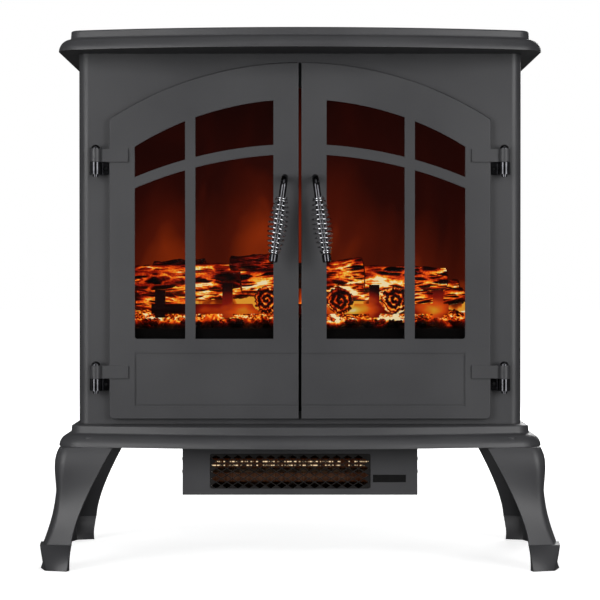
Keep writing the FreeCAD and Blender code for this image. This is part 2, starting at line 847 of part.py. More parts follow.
def door_straps():
    """Two straps on the door's face, each ending in the knuckle that turns on the pin."""
    straps = []
    face = -door_front
    for height, low in strap_lows.items():
        high = low + S.strap_height
        flat = block(f"strap_{height}_flat", (door_outer - S.strap_reach, face - S.strap_thickness, low),
                     (pin_x - 3, face, high))
        knuckle = rod(f"strap_{height}_knuckle", (pin_x, pin_y, low), "z", S.barrel_radius, S.strap_height)
        bore = rod(f"strap_{height}_bore", (pin_x, pin_y, low - 1), "z", S.pin_radius + S.pin_clearance,
                   S.strap_height + 2)
        straps.append(cut(f"strap_{height}", join(f"strap_{height}_body", [flat, knuckle]), [bore]))
    node(group("door_right_straps", straps), "door_right_straps")


def leaning_sketch(body, name):
    """A sketch in the plane of the bent handle: x runs along Y, y runs up the leaning rod."""
    outline = body.newObject("Sketcher::SketchObject", name)
    planes = {feature.Role: feature for feature in body.Origin.OriginFeatures}
    outline.AttachmentSupport = (planes["YZ_Plane"], "")
    outline.MapMode = "FlatFace"
    outline.AttachmentOffset = Placement(Vector(), Rotation(Vector(1, 0, 0), -sizes["handle_lean"]))
    bind(outline, "AttachmentOffset.Base.y", handle_z)
    bind(outline, "AttachmentOffset.Base.z", S.handle_x)
    return outline


handle_end = -door_back + 5.8
grip_y = -door_front - S.handle_reach


def handle_rod():
    body = new_body("door_right_handle_rod")
    spine = leaning_sketch(body, "handle_spine")
    draw_run(spine, [(handle_end, 0), (grip_y + S.handle_bend, 0, S.handle_bend, 1),
                     (grip_y, -S.handle_bend), (grip_y, -S.handle_length)], False)
    ring = sketch(body, "handle_section", "XZ", -handle_end, circles=[(S.handle_x, handle_z, S.handle_radius)])
    pipe = body.newObject("PartDesign::AdditivePipe", "handle_bar")
    pipe.Profile = ring
    pipe.Spine = (spine, [])


def revolved(body, name, loop):
    """Turns a loop drawn in the leaning plane about the grip's axis."""
    outline = leaning_sketch(body, name)
    draw_run(outline, loop, True)
    axis_end = Vector(grip_y.value, -S.handle_length.value, 0)
    axis = outline.addGeometry(Part.LineSegment(Vector(grip_y.value, 0, 0), axis_end), True)
    hold_point(outline, axis, 1, (grip_y, 0))
    hold_point(outline, axis, 2, (grip_y, -S.handle_length))
    feature = body.newObject("PartDesign::Revolution", name + "_turned")
    feature.Profile = outline
    feature.ReferenceAxis = (outline, ["Axis0"])
    feature.Angle = 360


def handle_spring():
    """Barrel-shaped coil round the rod: one ridge for each turn, a wire thick."""
    body = new_body("door_right_handle_spring")
    turn_count = sizes["coil_turns"]
    pitch = S.coil_length / turn_count
    curve = pitch * 0.6
    ridge = curve - root(curve * curve - pitch * pitch / 4)
    valleys = []
    for turn in range(turn_count + 1):
        swell = math.sin(math.pi * turn / turn_count)
        valley = S.coil_end_radius - ridge + (S.coil_middle_radius - S.coil_end_radius) * swell
        valleys.append((valley, -S.coil_start - pitch * turn))
    inside = [(grip_y - valley + S.coil_wire - ridge, height) for valley, height in valleys]
    outside = [(grip_y - valley, height, curve, -1) for valley, height in reversed(valleys)]
    outside[-1] = outside[-1][:2]
    revolved(body, "coil_profile", inside + outside)


def handle_tip():
    body = new_body("door_right_handle_tip")
    low = -S.handle_length - 4.2
    high = low + S.tip_length
    outer = grip_y - S.tip_radius
    bore = grip_y - S.handle_radius - 0.05
    loop = [(grip_y, low), (grip_y, low + 4), (bore, low + 4), (bore, high), (outer + 0.6, high),
            (outer, high - 0.6), (outer, low + 1.2), (outer + 1.2, low)]
    revolved(body, "tip_profile", loop)


def handle_nut():
    body = new_body("door_right_handle_nut")
    across = S.handle_radius * 1.85
    corners = []
    for step in range(6):
        angle = math.radians(60 * step)
        corners.append((S.handle_x + across * math.cos(angle), handle_z + across * math.sin(angle)))
    hexagon = sketch(body, "nut_hexagon", "XZ", door_back, [corners],
                     [(S.handle_x, handle_z, S.handle_radius + 0.05)])
    pad(body, hexagon, 5, reverse=True)


def doors():
    for build in (door_panel, door_glass, door_clips, door_straps, handle_rod, handle_spring,
                  handle_tip, handle_nut):
        build()
    for name in [name for name in parts if name.startswith("door_right")]:
        left_of(name)


def door_magnet():
    """Magnet in a case behind the crown of the opening, with its bracket on the casing."""
    crown = arch_height + opening_arch
    case = block("magnet_case", (-20, -door_back + 0.4, crown - 12), (20, -sheet_back + 9, crown - 2))
    bracket = block("magnet_bracket", (-14, -sheet_back, crown - 12), (14, -sheet_back + 1.5, crown + 20))
    node(join("door_magnet", [case, bracket]), "door_magnet")


# ---- firebox display ----


def firebox_liner():
    """Black inner box: lipped sides, roof and hearth plate, open to the doors and the screen."""
    body = new_body("firebox_liner")
    skin = S.liner_sheet
    front = -sheet_back
    lip = liner_side + 14
    inner = liner_side - skin
    back = screen_front
    loop = [(-lip, front), (-inner, front), (-inner, back), (-liner_side, back),
            (-liner_side, front + skin), (-lip, front + skin)]
    other = [(-x, y) for x, y in loop]
    roof = top_under - 4
    pad(body, sketch(body, "liner_walls", "XY", hearth, [loop, other]), roof - hearth)
    for label, low in (("hearth", hearth), ("roof", roof - skin)):
        deck = rectangle(-liner_side, front + 1.5, liner_side, back)
        pad(body, sketch(body, f"liner_{label}", "XY", low, [deck]), skin)


def flame_screen():
    node(block("flame_screen", (-liner_side + 2, screen_front, hearth + 1),
               (liner_side - 2, screen_front + S.screen_thickness, top_under - 6)), "flame_screen")


bed_front = -sheet_back + 12
bed_foot = hearth + S.liner_sheet
bed_top = bed_foot + 28.8


def ember_bed():
    """Moulded translucent tray, hollow below, that the logs lie on."""
    body = new_body("ember_bed")
    side = liner_side - 7
    rear = screen_front - 3
    crest = bed_front + 24
    wall = 3
    outer = [(bed_front, bed_foot), (rear, bed_foot), (rear, bed_top), (crest, bed_top), (bed_front, bed_foot + 10.8)]
    pad(body, sketch(body, "bed_outer", "YZ", -side, [outer]), side * 2)
    inner = [(bed_front + wall, bed_foot - 1), (rear - wall, bed_foot - 1), (rear - wall, bed_top - wall),
             (crest + 1, bed_top - wall), (bed_front + wall, bed_foot + 9.6)]
    pocket(body, sketch(body, "bed_inner", "YZ", side - wall, [inner]), (side - wall) * 2)


log_radius = 16.6
log_lift = log_radius + 0.4


def log(name, start, end, radius, taper=1.0):
    """A slightly tapered round log between two points."""
    first = Vector(*[value_of(size) for size in start])
    last = Vector(*[value_of(size) for size in end])
    item = doc.addObject("Part::Cone", name)
    bind(item, "Radius1", radius)
    bind(item, "Radius2", radius * taper)
    bind(item, "Height", (last - first).Length)
    item.Placement = Placement(first, Rotation(Vector(0, 0, 1), last - first))
    return item


# Across the hearth, as shares of its half width: the logs that point forwards.
log_ends = (-0.194, 0.235, 0.55)


def log_set():
    """Short logs with their ends forward, and longer ones lying across them.

    Each span is its left and right end as shares of the half width, its lift, radius and
    taper, and how far back it lies as a share of the depth."""
    half = liner_side - 8
    near = bed_front + 18
    far = screen_front - 14
    low = bed_top + log_lift
    logs = []
    for index, share in enumerate(log_ends):
        logs.append(log(f"log_end_{index}", (half * share, near + 1, low), (half * share * 0.9, far, low), log_radius, 0.97))
    spans = [(-0.97, -0.32, 30, 19, 0.85, 0.45), (-0.30, 0.30, 40, 17, 0.9, 0.35), (0.28, 0.86, 26, 16, 0.9, 0.55),
             (-0.9, -0.1, 14, 14, 0.9, 0.8), (0.05, 0.94, 12, 13, 0.9, 0.85), (-0.62, -0.05, 51, 11, 0.8, 0.6)]
    for index, (left, right, lift, radius, taper, depth) in enumerate(spans):
        y = near + (far - near) * depth
        logs.append(log(f"log_across_{index}", (half * left, y - 5, low + lift * 0.7),
                        (half * right, y + 4, low + lift), radius, taper))
    node(join("log_set", logs), "log_set")


def fire_grate():
    """Front bar with upright posts, notched for the log ends that stick out over it."""
    half = liner_side - 8
    y = bed_front + 13
    bar_z = bed_top + 5.5
    bar = rod("grate_bar", (-half * 0.86, y, bar_z), "x", 6, half * 1.72)
    posts = []
    for index, (share, top) in enumerate(((-0.81, 28), (-0.42, 36), (0.43, 34), (0.8, 28))):
        x = half * share
        posts.append(block(f"grate_post_{index}", (x - 6, y - 5, bed_top - 4.9), (x + 6, y + 4, bed_top + top)))
    iron = join("grate_iron", [bar] + posts)
    notches = [rod(f"grate_notch_{index}", (half * share, y - 20, bed_top + log_lift), "y", log_radius + 1, 40)
               for index, share in enumerate(log_ends)]
    node(cut("fire_grate", iron, notches), "fire_grate")


def lower_fascia():
    """Black panel below the fire, behind the doors' lower rails, with the control cut-out."""
    side = opening_side + 4
    front = -sheet_back
    top = plinth_top + S.fascia_height
    panel = block("fascia_panel", (-side, front, plinth_top + 3), (side, front + 1.2, top))
    lip = block("fascia_lip", (-side, front, top - 1.2), (side, front + 9, top))
    hole = block("fascia_hole", (panel_left + 2, front - 1, panel_low + 2), (panel_right - 2, front + 4, panel_high - 2))
    node(cut("lower_fascia", join("fascia_body", [panel, lip]), [hole]), "lower_fascia")


panel_left = opening_side * 0.32
panel_right = panel_left + 118
panel_low = plinth_top + 33
panel_high = panel_low + 42
button_z = panel_low + 18
panel_front = -sheet_back - 1.6
button_names = ("power_button", "flame_button", "heat_button", "timer_button")


def button_x(index):
    return panel_left + 20 + S.button_pitch * index


def control_panel():
    """Bezel with four button holes and a display window, and a shallow box behind."""
    body = new_body("control_panel")
    bezel = sketch(body, "panel_bezel", "XZ", -panel_front, [rounded(panel_left, panel_low, panel_right, panel_high, 4)])
    pad(body, bezel, 1.6, reverse=True)
    wall = sketch(body, "panel_wall", "XZ", -panel_front - 1.5,
                  [rectangle(panel_left + 3, panel_low + 3, panel_right - 3, panel_high - 3),
                   rectangle(panel_left + 5, panel_low + 5, panel_right - 5, panel_high - 5)])
    pad(body, wall, 10, reverse=True)
    window = rounded(panel_right - 32, panel_low + 10, panel_right - 9, panel_low + 27, 2)
    openings = sketch(body, "panel_openings", "XZ", -panel_front + 1, [window],
                      [(button_x(index), button_z, S.button_radius + 0.3) for index in range(4)])
    pocket(body, openings, 4)


def buttons():
    """Round push buttons: cap through the bezel, collar behind it, stem to the board."""
    for index, name in enumerate(button_names):
        x = button_x(index)
        cap = rod(name + "_cap", (x, panel_front - S.button_proud, button_z), "y", S.button_radius, S.button_proud + 3.6)
        collar = rod(name + "_collar", (x, panel_front + 1.9, button_z), "y", S.button_radius + 1.5, 1.2)
        stem = rod(name + "_stem", (x, panel_front + 2, button_z), "y", 2, 4.6)
        node(join(name, [cap, collar, stem]), name)


def button_board():
    """Circuit board behind the bezel, with a switch under each button and the display."""
    front = panel_front + 11.5
    items = [block("board_sheet", (panel_left + 3.5, front, panel_low + 3.5),
                   (panel_right - 3.5, front + 1.6, panel_high - 3.5))]
    for index in range(4):
        x = button_x(index)
        items.append(block(f"switch_{index}", (x - 3, front - 3.5, button_z - 3), (x + 3, front + 0.5, button_z + 3)))
    items.append(block("display", (panel_right - 31, front - 8, panel_low + 11), (panel_right - 10, front + 0.5, panel_low + 26)))
    node(join("button_board", items), "button_board")


# ---- flame flicker behind the screen ----

spindle_y = screen_front + 26
spindle_z = hearth + 28
spindle_left = -liner_side + 48
spindle_right = liner_side - 52
bracket_inner = spindle_right + 24


def flicker_bracket():
    """Bridge of sheet metal on the casing floor: two uprights and a shelf, with the far bush."""
    floor = plinth_top + S.casing_sheet
    near = spindle_y - 18
    far = spindle_y + 18
    left = block("bracket_left", (spindle_left - 8, near, floor), (spindle_left - 6.5, far, spindle_z + 20))
    right = block("bracket_right", (bracket_inner, near, floor), (bracket_inner + 1.5, far, spindle_z + 30))
    shelf = block("bracket_shelf", (spindle_left - 8, near, hearth + 2), (bracket_inner + 1.5, far, hearth + 3.5))
    bush = rod("spindle_bush", (spindle_left - 8, spindle_y, spindle_z), "x", 5, 6)
    bore = rod("spindle_bore", (spindle_left - 9, spindle_y, spindle_z), "x", 2.55, 12)
    node(cut("flicker_bracket", join("bracket_body", [left, right, shelf, bush]), [bore]), "flicker_bracket")


def flicker_spindle():
    """Rod with reflective blades, each turned an eighth from the last."""
    body = [rod("spindle_rod", (spindle_left - 7, spindle_y, spindle_z), "x", 2.5, spindle_right - spindle_left + 7)]
    count = 11
    step = (spindle_right - spindle_left - 20) / count
    for index in range(count):
        blade = doc.addObject("Part::Box", f"blade_{index}")
        bind(blade, "Length", step - 4)
        blade.Width = 26
        blade.Height = 0.8
        turn = Rotation(Vector(1, 0, 0), 45 * index)
        blade.Placement = Placement(Vector(), turn)
        offset = turn.multVec(Vector(0, -13, -0.4))
        spot = (spindle_left + 4 + step * index, spindle_y + offset.y, spindle_z + offset.z)
        for letter, size in zip("xyz", spot):
            bind(blade, f"Placement.Base.{letter}", size)
        body.append(blade)
    node(join("flicker_spindle", body), "flicker_spindle")


def flicker_motor():
    """Flat synchronous motor on the right-hand upright; its stub meets the spindle."""
    can = rod("motor_can", (bracket_inner - 20, spindle_y, spindle_z), "x", 20, 20)
    stub = rod("motor_stub", (spindle_right + 0.3, spindle_y, spindle_z), "x", 2.5, 5)
    node(join("flicker_motor", [can, stub]), "flicker_motor")


def led_board(name, left, right, near, far, low, pitch):
    """Strip of circuit board with a row of lamps."""
    board = block(name + "_strip", (left, near, low), (right, far, low + 1.6))
    middle = (near + far) / 2
    count = 10
    step = (right - left) / count
    lamps = [block(f"{name}_lamp_{index}", (left + step * (index + 0.5) - 2, middle - 2, low + 1),
                   (left + step * (index + 0.5) + 2, middle + 2, low + pitch)) for index in range(count)]
    node(join(name, [board] + lamps), name)


def lights():
    led_board("flame_led_board", spindle_left + 5, spindle_right, spindle_y - 9, spindle_y + 9, hearth + 3.7, 3.2)
    led_board("ember_led_board", -liner_side * 0.8, liner_side * 0.8, bed_front + 30, bed_front + 52, bed_foot + 0.3, 4)


def main_board():
    """Power board on four pillars on the casing floor, with its relays and transformer."""
    floor = plinth_top + S.casing_sheet
    rear = S.casing_rear - 25
    near = rear - 72
    left = spindle_left - 2
    right = left + 135
    low = floor + 8
    items = [block("power_sheet", (left, near, low), (right, rear, low + 1.6))]
    for side, x in (("left", left + 6), ("right", right - 6)):
        for end, y in (("near", near + 6), ("rear", rear - 6)):
            items.append(rod(f"pillar_{side}_{end}", (x, y, floor), "z", 3, 8.5))
    items.append(block("transformer", (left + 10, near + 12, low + 1), (left + 45, near + 44, low + 30)))
    for index in range(3):
        x = left + 60 + 22 * index
        items.append(block(f"relay_{index}", (x, near + 10, low + 1), (x + 16, near + 38, low + 17)))
    items.append(rod("capacitor", (left + 70, rear - 18, low + 1), "z", 8, 24))
    items.append(rod("capacitor_small", (left + 95, rear - 18, low + 1), "z", 5, 14))
    node(join("main_board", items), "main_board")


# ---- heater under the plinth ----

axle_y = 18
axle_z = heater_low + 28


def heater_housing():
    """Open-topped sheet box under the plinth with the outlet in front and slots behind."""
    body = new_body("heater_housing")
    side = S.heater_half_width
    skin = S.heater_sheet
    shell = rectangle(-side, -S.heater_front, side, S.heater_rear)
    pad(body, sketch(body, "heater_shell", "XY", heater_low, [shell]), S.heater_height)
    room = rectangle(-side + skin, -S.heater_front + skin, side - skin, S.heater_rear - skin)
    pocket(body, sketch(body, "heater_room", "XY", S.plinth_bottom + 1, [room]), S.heater_height + 1 - skin)
    outlet_low = heater_low + S.outlet_sill
    outlet = rounded(-outlet_left, outlet_low, outlet_right, outlet_low + S.outlet_height, 2.5)
    pocket(body, sketch(body, "heater_outlet", "XZ", S.heater_front + 1, [outlet]), skin + 2)
    slots = [rounded(-side * 0.7, heater_low + z, side * 0.6, heater_low + z + 5, 2.4) for z in (12, 22, 32, 42)]
    pocket(body, sketch(body, "heater_intake", "XZ", -S.heater_rear - 1, slots), skin + 2, reverse=True)
    holes = [(-S.heater_front + 14, heater_low + z, S.screw_radius + 0.1) for z in (26, 41)]
    pocket(body, sketch(body, "heater_side_holes", "YZ", side + 1, circles=holes), side * 2 + 2)


def heater_grille():
    """Expanded metal behind the outlet: rows of diamonds, each row half a pitch over."""
    left = -outlet_left.value - 2.5
    right = outlet_right.value + 2.5
    low = heater_low.value + sizes["outlet_sill"] - 2.5
    high = low + sizes["outlet_height"] + 5
    pitch = sizes["mesh_pitch"]
    rise = sizes["mesh_rise"]
    strand = 0.86
    y = -sizes["heater_front"] + sizes["heater_sheet"] + 0.02

    def wire(points):
        return Part.makePolygon([Vector(x, y, z) for x, z in points + points[:1]])

    holes = []
    row = 0
    while low + rise * (row / 2 + 1.2) < high:
        middle_z = low + 2 + rise * (row + 1) / 2
        first = left + 3 + pitch * (1 + row % 2) / 2
        for step in range(int((right - left) / pitch)):
            x = first + pitch * step
            if x + pitch / 2 < right - 1:
                holes.append(wire([(x - pitch / 2 * strand, middle_z), (x, middle_z - rise / 2 * strand),
                                   (x + pitch / 2 * strand, middle_z), (x, middle_z + rise / 2 * strand)]))
        row += 1
    frame = wire([(left, low), (right, low), (right, high), (left, high)])
    face = Part.makeFace([frame] + holes, "Part::FaceMakerBullseye")
    grille = doc.addObject("Part::Feature", "heater_grille")
    grille.Shape = face.extrude(Vector(0, 1.2, 0))
    grille.Placement = Placement()
    node(grille, "heater_grille")


tube_y = -S.heater_front + 33
tube_left = -outlet_left - 4
tube_right = outlet_right + 4
tube_heights = (axle_z - 10.5, axle_z + 6)


def quartz_tubes():
    """Two open-ended quartz tubes across the outlet."""
    tubes = []
    for index, z in enumerate(tube_heights):
        outer = rod(f"tube_{index}_outer", (tube_left, tube_y, z), "x", S.tube_radius, tube_right - tube_left)
        bore = rod(f"tube_{index}_bore", (tube_left - 1, tube_y, z), "x", S.tube_radius - 1.1, tube_right - tube_left + 2)
        tubes.append(cut(f"tube_{index}", outer, [bore]))
    node(group("quartz_tubes", tubes), "quartz_tubes")


def tube_holders():
    """Ceramic blocks on the housing's floor that the tube ends sit in."""
    holders = []
    foot = heater_low + S.heater_sheet
    for word, left, right in (("left", tube_left - 6, tube_left + 5), ("right", tube_right - 5, tube_right + 6)):
        base = block(f"holder_{word}_block", (left, tube_y - 9, foot), (right, tube_y + 9, tube_heights[1] + 9))
        seats = []
        for index, z in enumerate(tube_heights):
            start = tube_left - 0.2 if word == "left" else tube_right - 6
            seats.append(rod(f"holder_{word}_seat_{index}", (start, tube_y, z), "x", S.tube_radius + 0.02, 6.2))
        holders.append(cut(f"holder_{word}", base, seats))
    node(group("tube_holders", holders), "tube_holders")


reflector_z = axle_z - 3


def reflector():
    """Polished trough behind the tubes."""
    body = new_body("reflector")
    radius = S.reflector_radius
    inner = radius - 0.8
    y = tube_y - 2
    loop = [(y, reflector_z - radius, radius, 1), (y + radius, reflector_z, radius, 1), (y, reflector_z + radius),
            (y - 8, reflector_z + radius), (y - 8, reflector_z + inner), (y, reflector_z + inner, inner, -1),
            (y + inner, reflector_z, inner, -1), (y, reflector_z - inner), (y - 8, reflector_z - inner),
            (y - 8, reflector_z - radius)]
    start = tube_left + 5.5
    pad(body, sketch(body, "reflector_trough", "YZ", start, [loop]), tube_right - 5.5 - start)


def thermal_cutout():
    back = tube_y - 2 + S.reflector_radius
    disc = rod("cutout_disc", (40, back + 0.1, reflector_z), "y", 7, 5)
    rib = rod("cutout_nose", (40, back + 4, reflector_z), "y", 4, 3)
    node(join("thermal_cutout", [disc, rib]), "thermal_cutout")


scroll_left = 36.5 - S.heater_half_width
scroll_right = S.heater_half_width - 58.5


def blower_housing():
    """Scroll round the upper rear of the wheel, between two plates that carry its axle."""
    body = new_body("blower_housing")
    outer = S.wheel_radius + 4
    inner = outer - 1.2
    loop = [(axle_y + outer, axle_z, outer, 1), (axle_y, axle_z + outer), (axle_y - 30, axle_z + outer),
            (axle_y - 30, axle_z + inner), (axle_y, axle_z + inner, inner, -1), (axle_y + inner, axle_z)]
    pad(body, sketch(body, "scroll", "YZ", scroll_left, [loop]), scroll_right - scroll_left)
    foot = heater_low + S.heater_sheet
    plate = rectangle(axle_y - 30, foot, axle_y + outer, axle_z + outer)
    for word, start in (("left", scroll_left - 1.5), ("right", scroll_right)):
        hole = [(axle_y, axle_z, 3.05)]
        pad(body, sketch(body, f"end_plate_{word}", "YZ", start, [plate], hole), 1.5)


def blower_wheel():
    """Tangential wheel: discs at both ends and the middle, joined by a ring of blades."""
    body = new_body("blower_wheel")
    place(body, (0, axle_y, axle_z))
    start = scroll_left + 3
    end = scroll_right - 3
    shaft = sketch(body, "wheel_shaft", "YZ", scroll_left - 3, circles=[(0, 0, 3)])
    pad(body, shaft, scroll_right - scroll_left + 10)
    for index, level in enumerate((start, (start + end) / 2, end - 1.2)):
        disc = sketch(body, f"wheel_disc_{index}", "YZ", level, circles=[(0, 0, S.wheel_radius)])
        pad(body, disc, 1.2)
    blade = sketch(body, "wheel_blade", "YZ", start,
                   [rectangle(S.wheel_radius - 6, -0.5, S.wheel_radius - 0.5, 0.5)])
    first = pad(body, blade, end - start)
    doc.recompute()
    ring = body.newObject("PartDesign::PolarPattern", "wheel_blades")
    ring.Originals = [first]
    ring.Axis = (shaft, ["N_Axis"])
    ring.Angle = 360
    ring.Occurrences = 20
    body.Tip = ring
    doc.recompute()


def blower_motor():
    """Shaded-pole motor beside the scroll, with its laminations and drive stub."""
    start = scroll_right + 7.3
    stub = rod("blower_stub", (start, axle_y, axle_z), "x", 3, 6)
    core = block("blower_core", (start + 5, axle_y - 18, heater_low + S.heater_sheet), (start + 23, axle_y + 18, axle_z + 18))
    cap = rod("blower_cap", (start + 20, axle_y, axle_z), "x", 12, 14)
    node(join("blower_motor", [stub, core, cap]), "blower_motor")


def label_plate():
    """Blank plate beside the outlet."""
    front = -S.heater_front
    low = heater_low + 14.7
    node(block("label_plate", (outlet_right + 2.7, front - 0.3, low), (outlet_right + 41, front, low + 8.7)),
         "label_plate")


def panel_screws():
    """Every pan-head screw: back cover, hinge leaves and the sides of the heater."""
    screws = []
    rear = S.casing_rear + S.cover_sheet
    for index, (x, z) in enumerate(cover_screw_places()):
        screws.append(screw(f"cover_screw_{index}", (x, rear, z), "y"))
    for side in (-1, 1):
        axis = "x" if side > 0 else "-x"
        for index, z in enumerate(leaf_screw_heights()):
            spot = (side * (pin_x - 10.2), -S.casing_front - 1.8, z)
            screws.append(screw(f"leaf_screw_{side + 1}_{index}", spot, "-y"))
        for index, z in enumerate((26, 41)):
            spot = (side * S.heater_half_width, -S.heater_front + 14, heater_low + z)
            screws.append(screw(f"side_screw_{side + 1}_{index}", spot, axis))
    node(group("panel_screws", screws), "panel_screws")


def save():
    """Checks every object, then writes each sub-part to its own file."""
    doc.recompute()
    for item in doc.Objects:
        if "Invalid" in item.State or "Error" in item.State:
            raise ValueError(f"{item.Name} failed: {item.State}")
    for name, item in parts.items():
        if item.Shape.isNull() or not item.Shape.isValid():
            raise ValueError(f"{name} has no valid shape")
    os.makedirs("parts", exist_ok=True)
    for name, item in parts.items():
        item.Shape.exportStep(f"parts/{name}.step")
        print(name, len(item.Shape.Solids), round(item.Shape.Volume))
    print(len(parts), "sub-parts")


for build in (top_plate, base_plinth, outer_casing, back_cover, casing_floor, cord_gland, legs,
              leg_bolts, hinges, doors, door_magnet, firebox_liner, flame_screen, ember_bed, log_set,
              fire_grate, lower_fascia, control_panel, buttons, button_board, flicker_bracket,
              flicker_spindle, flicker_motor, lights, main_board, heater_housing, heater_grille,
              quartz_tubes, tube_holders, reflector, thermal_cutout, blower_housing, blower_wheel,
              blower_motor, label_plate, panel_screws):
    build()
save()
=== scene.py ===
import json
import math
import random

import bpy
from mathutils import Matrix, Vector, noise


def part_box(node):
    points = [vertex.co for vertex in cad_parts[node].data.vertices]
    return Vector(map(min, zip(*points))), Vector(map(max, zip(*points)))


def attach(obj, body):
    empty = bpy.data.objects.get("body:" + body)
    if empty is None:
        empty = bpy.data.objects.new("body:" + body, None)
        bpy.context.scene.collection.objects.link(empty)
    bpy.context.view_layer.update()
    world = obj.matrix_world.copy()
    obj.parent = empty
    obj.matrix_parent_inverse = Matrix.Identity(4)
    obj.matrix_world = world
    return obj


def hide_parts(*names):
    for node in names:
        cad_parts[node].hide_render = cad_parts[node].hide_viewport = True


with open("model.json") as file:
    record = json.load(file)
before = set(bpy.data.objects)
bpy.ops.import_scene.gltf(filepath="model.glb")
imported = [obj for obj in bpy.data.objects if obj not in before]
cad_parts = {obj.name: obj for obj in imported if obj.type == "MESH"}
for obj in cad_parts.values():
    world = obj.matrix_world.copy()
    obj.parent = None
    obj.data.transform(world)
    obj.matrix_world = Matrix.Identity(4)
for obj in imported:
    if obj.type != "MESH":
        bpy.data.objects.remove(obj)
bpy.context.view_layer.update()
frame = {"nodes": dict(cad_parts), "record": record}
nodes = frame["nodes"]
bpy.ops.object.select_all(action="DESELECT")
print("stove frame loaded:", len(nodes), "nodes")


# node helpers: every finish below is built from these

def startFinish(name):
    finish = bpy.data.materials.new(name)
    finish.use_nodes = True
    tree = finish.node_tree
    shader = tree.nodes["Principled BSDF"]
    place = tree.nodes.new("ShaderNodeTexCoord").outputs["Object"]
    return finish, tree, shader, place


def stretched(tree, place, scale, turn=(0, 0, 0)):
    mapping = tree.nodes.new("ShaderNodeMapping")
    mapping.inputs["Scale"].default_value = scale
    mapping.inputs["Rotation"].default_value = turn
    tree.links.new(place, mapping.inputs["Vector"])
    return mapping.outputs["Vector"]


def cloud(tree, place, scale, detail=3.0, rough=0.5, twist=0.0):
    node = tree.nodes.new("ShaderNodeTexNoise")
    node.inputs["Scale"].default_value = scale
    node.inputs["Detail"].default_value = detail
    node.inputs["Roughness"].default_value = rough
    node.inputs["Distortion"].default_value = twist
    tree.links.new(place, node.inputs["Vector"])
    return node.outputs["Fac"]


def cells(tree, place, scale, feature="F1"):
    node = tree.nodes.new("ShaderNodeTexVoronoi")
    node.feature = feature
    node.inputs["Scale"].default_value = scale
    tree.links.new(place, node.inputs["Vector"])
    return node


def spread(tree, value, low, high, fromLow=0.3, fromHigh=0.7):
    node = tree.nodes.new("ShaderNodeMapRange")
    node.inputs["From Min"].default_value = fromLow
    node.inputs["From Max"].default_value = fromHigh
    node.inputs["To Min"].default_value = low
    node.inputs["To Max"].default_value = high
    tree.links.new(value, node.inputs["Value"])
    return node.outputs["Result"]


def sums(tree, kind, first, second, third=None):
    node = tree.nodes.new("ShaderNodeMath")
    node.operation = kind
    for index, value in enumerate((first, second, third)):
        if value is None:
            continue
        if isinstance(value, (int, float)):
            node.inputs[index].default_value = value
        else:
            tree.links.new(value, node.inputs[index])
    return node.outputs["Value"]


def ramp(tree, value, stops):
    node = tree.nodes.new("ShaderNodeValToRGB")
    bar = node.color_ramp
    while len(bar.elements) < len(stops):
        bar.elements.new(0.5)
    for element, (at, colour) in zip(bar.elements, stops):
        element.position = at
        element.color = (*colour, 1)
    tree.links.new(value, node.inputs["Fac"])
    return node.outputs["Color"]


def bump(tree, shader, height, strength, distance):
    node = tree.nodes.new("ShaderNodeBump")
    node.inputs["Strength"].default_value = strength
    node.inputs["Distance"].default_value = distance
    tree.links.new(height, node.inputs["Height"])
    tree.links.new(node.outputs["Normal"], shader.inputs["Normal"])


def axis(tree, place, name):
    node = tree.nodes.new("ShaderNodeSeparateXYZ")
    tree.links.new(place, node.inputs["Vector"])
    return node.outputs[name]


# plain finishes: two shades, a roughness spread and a grain for each

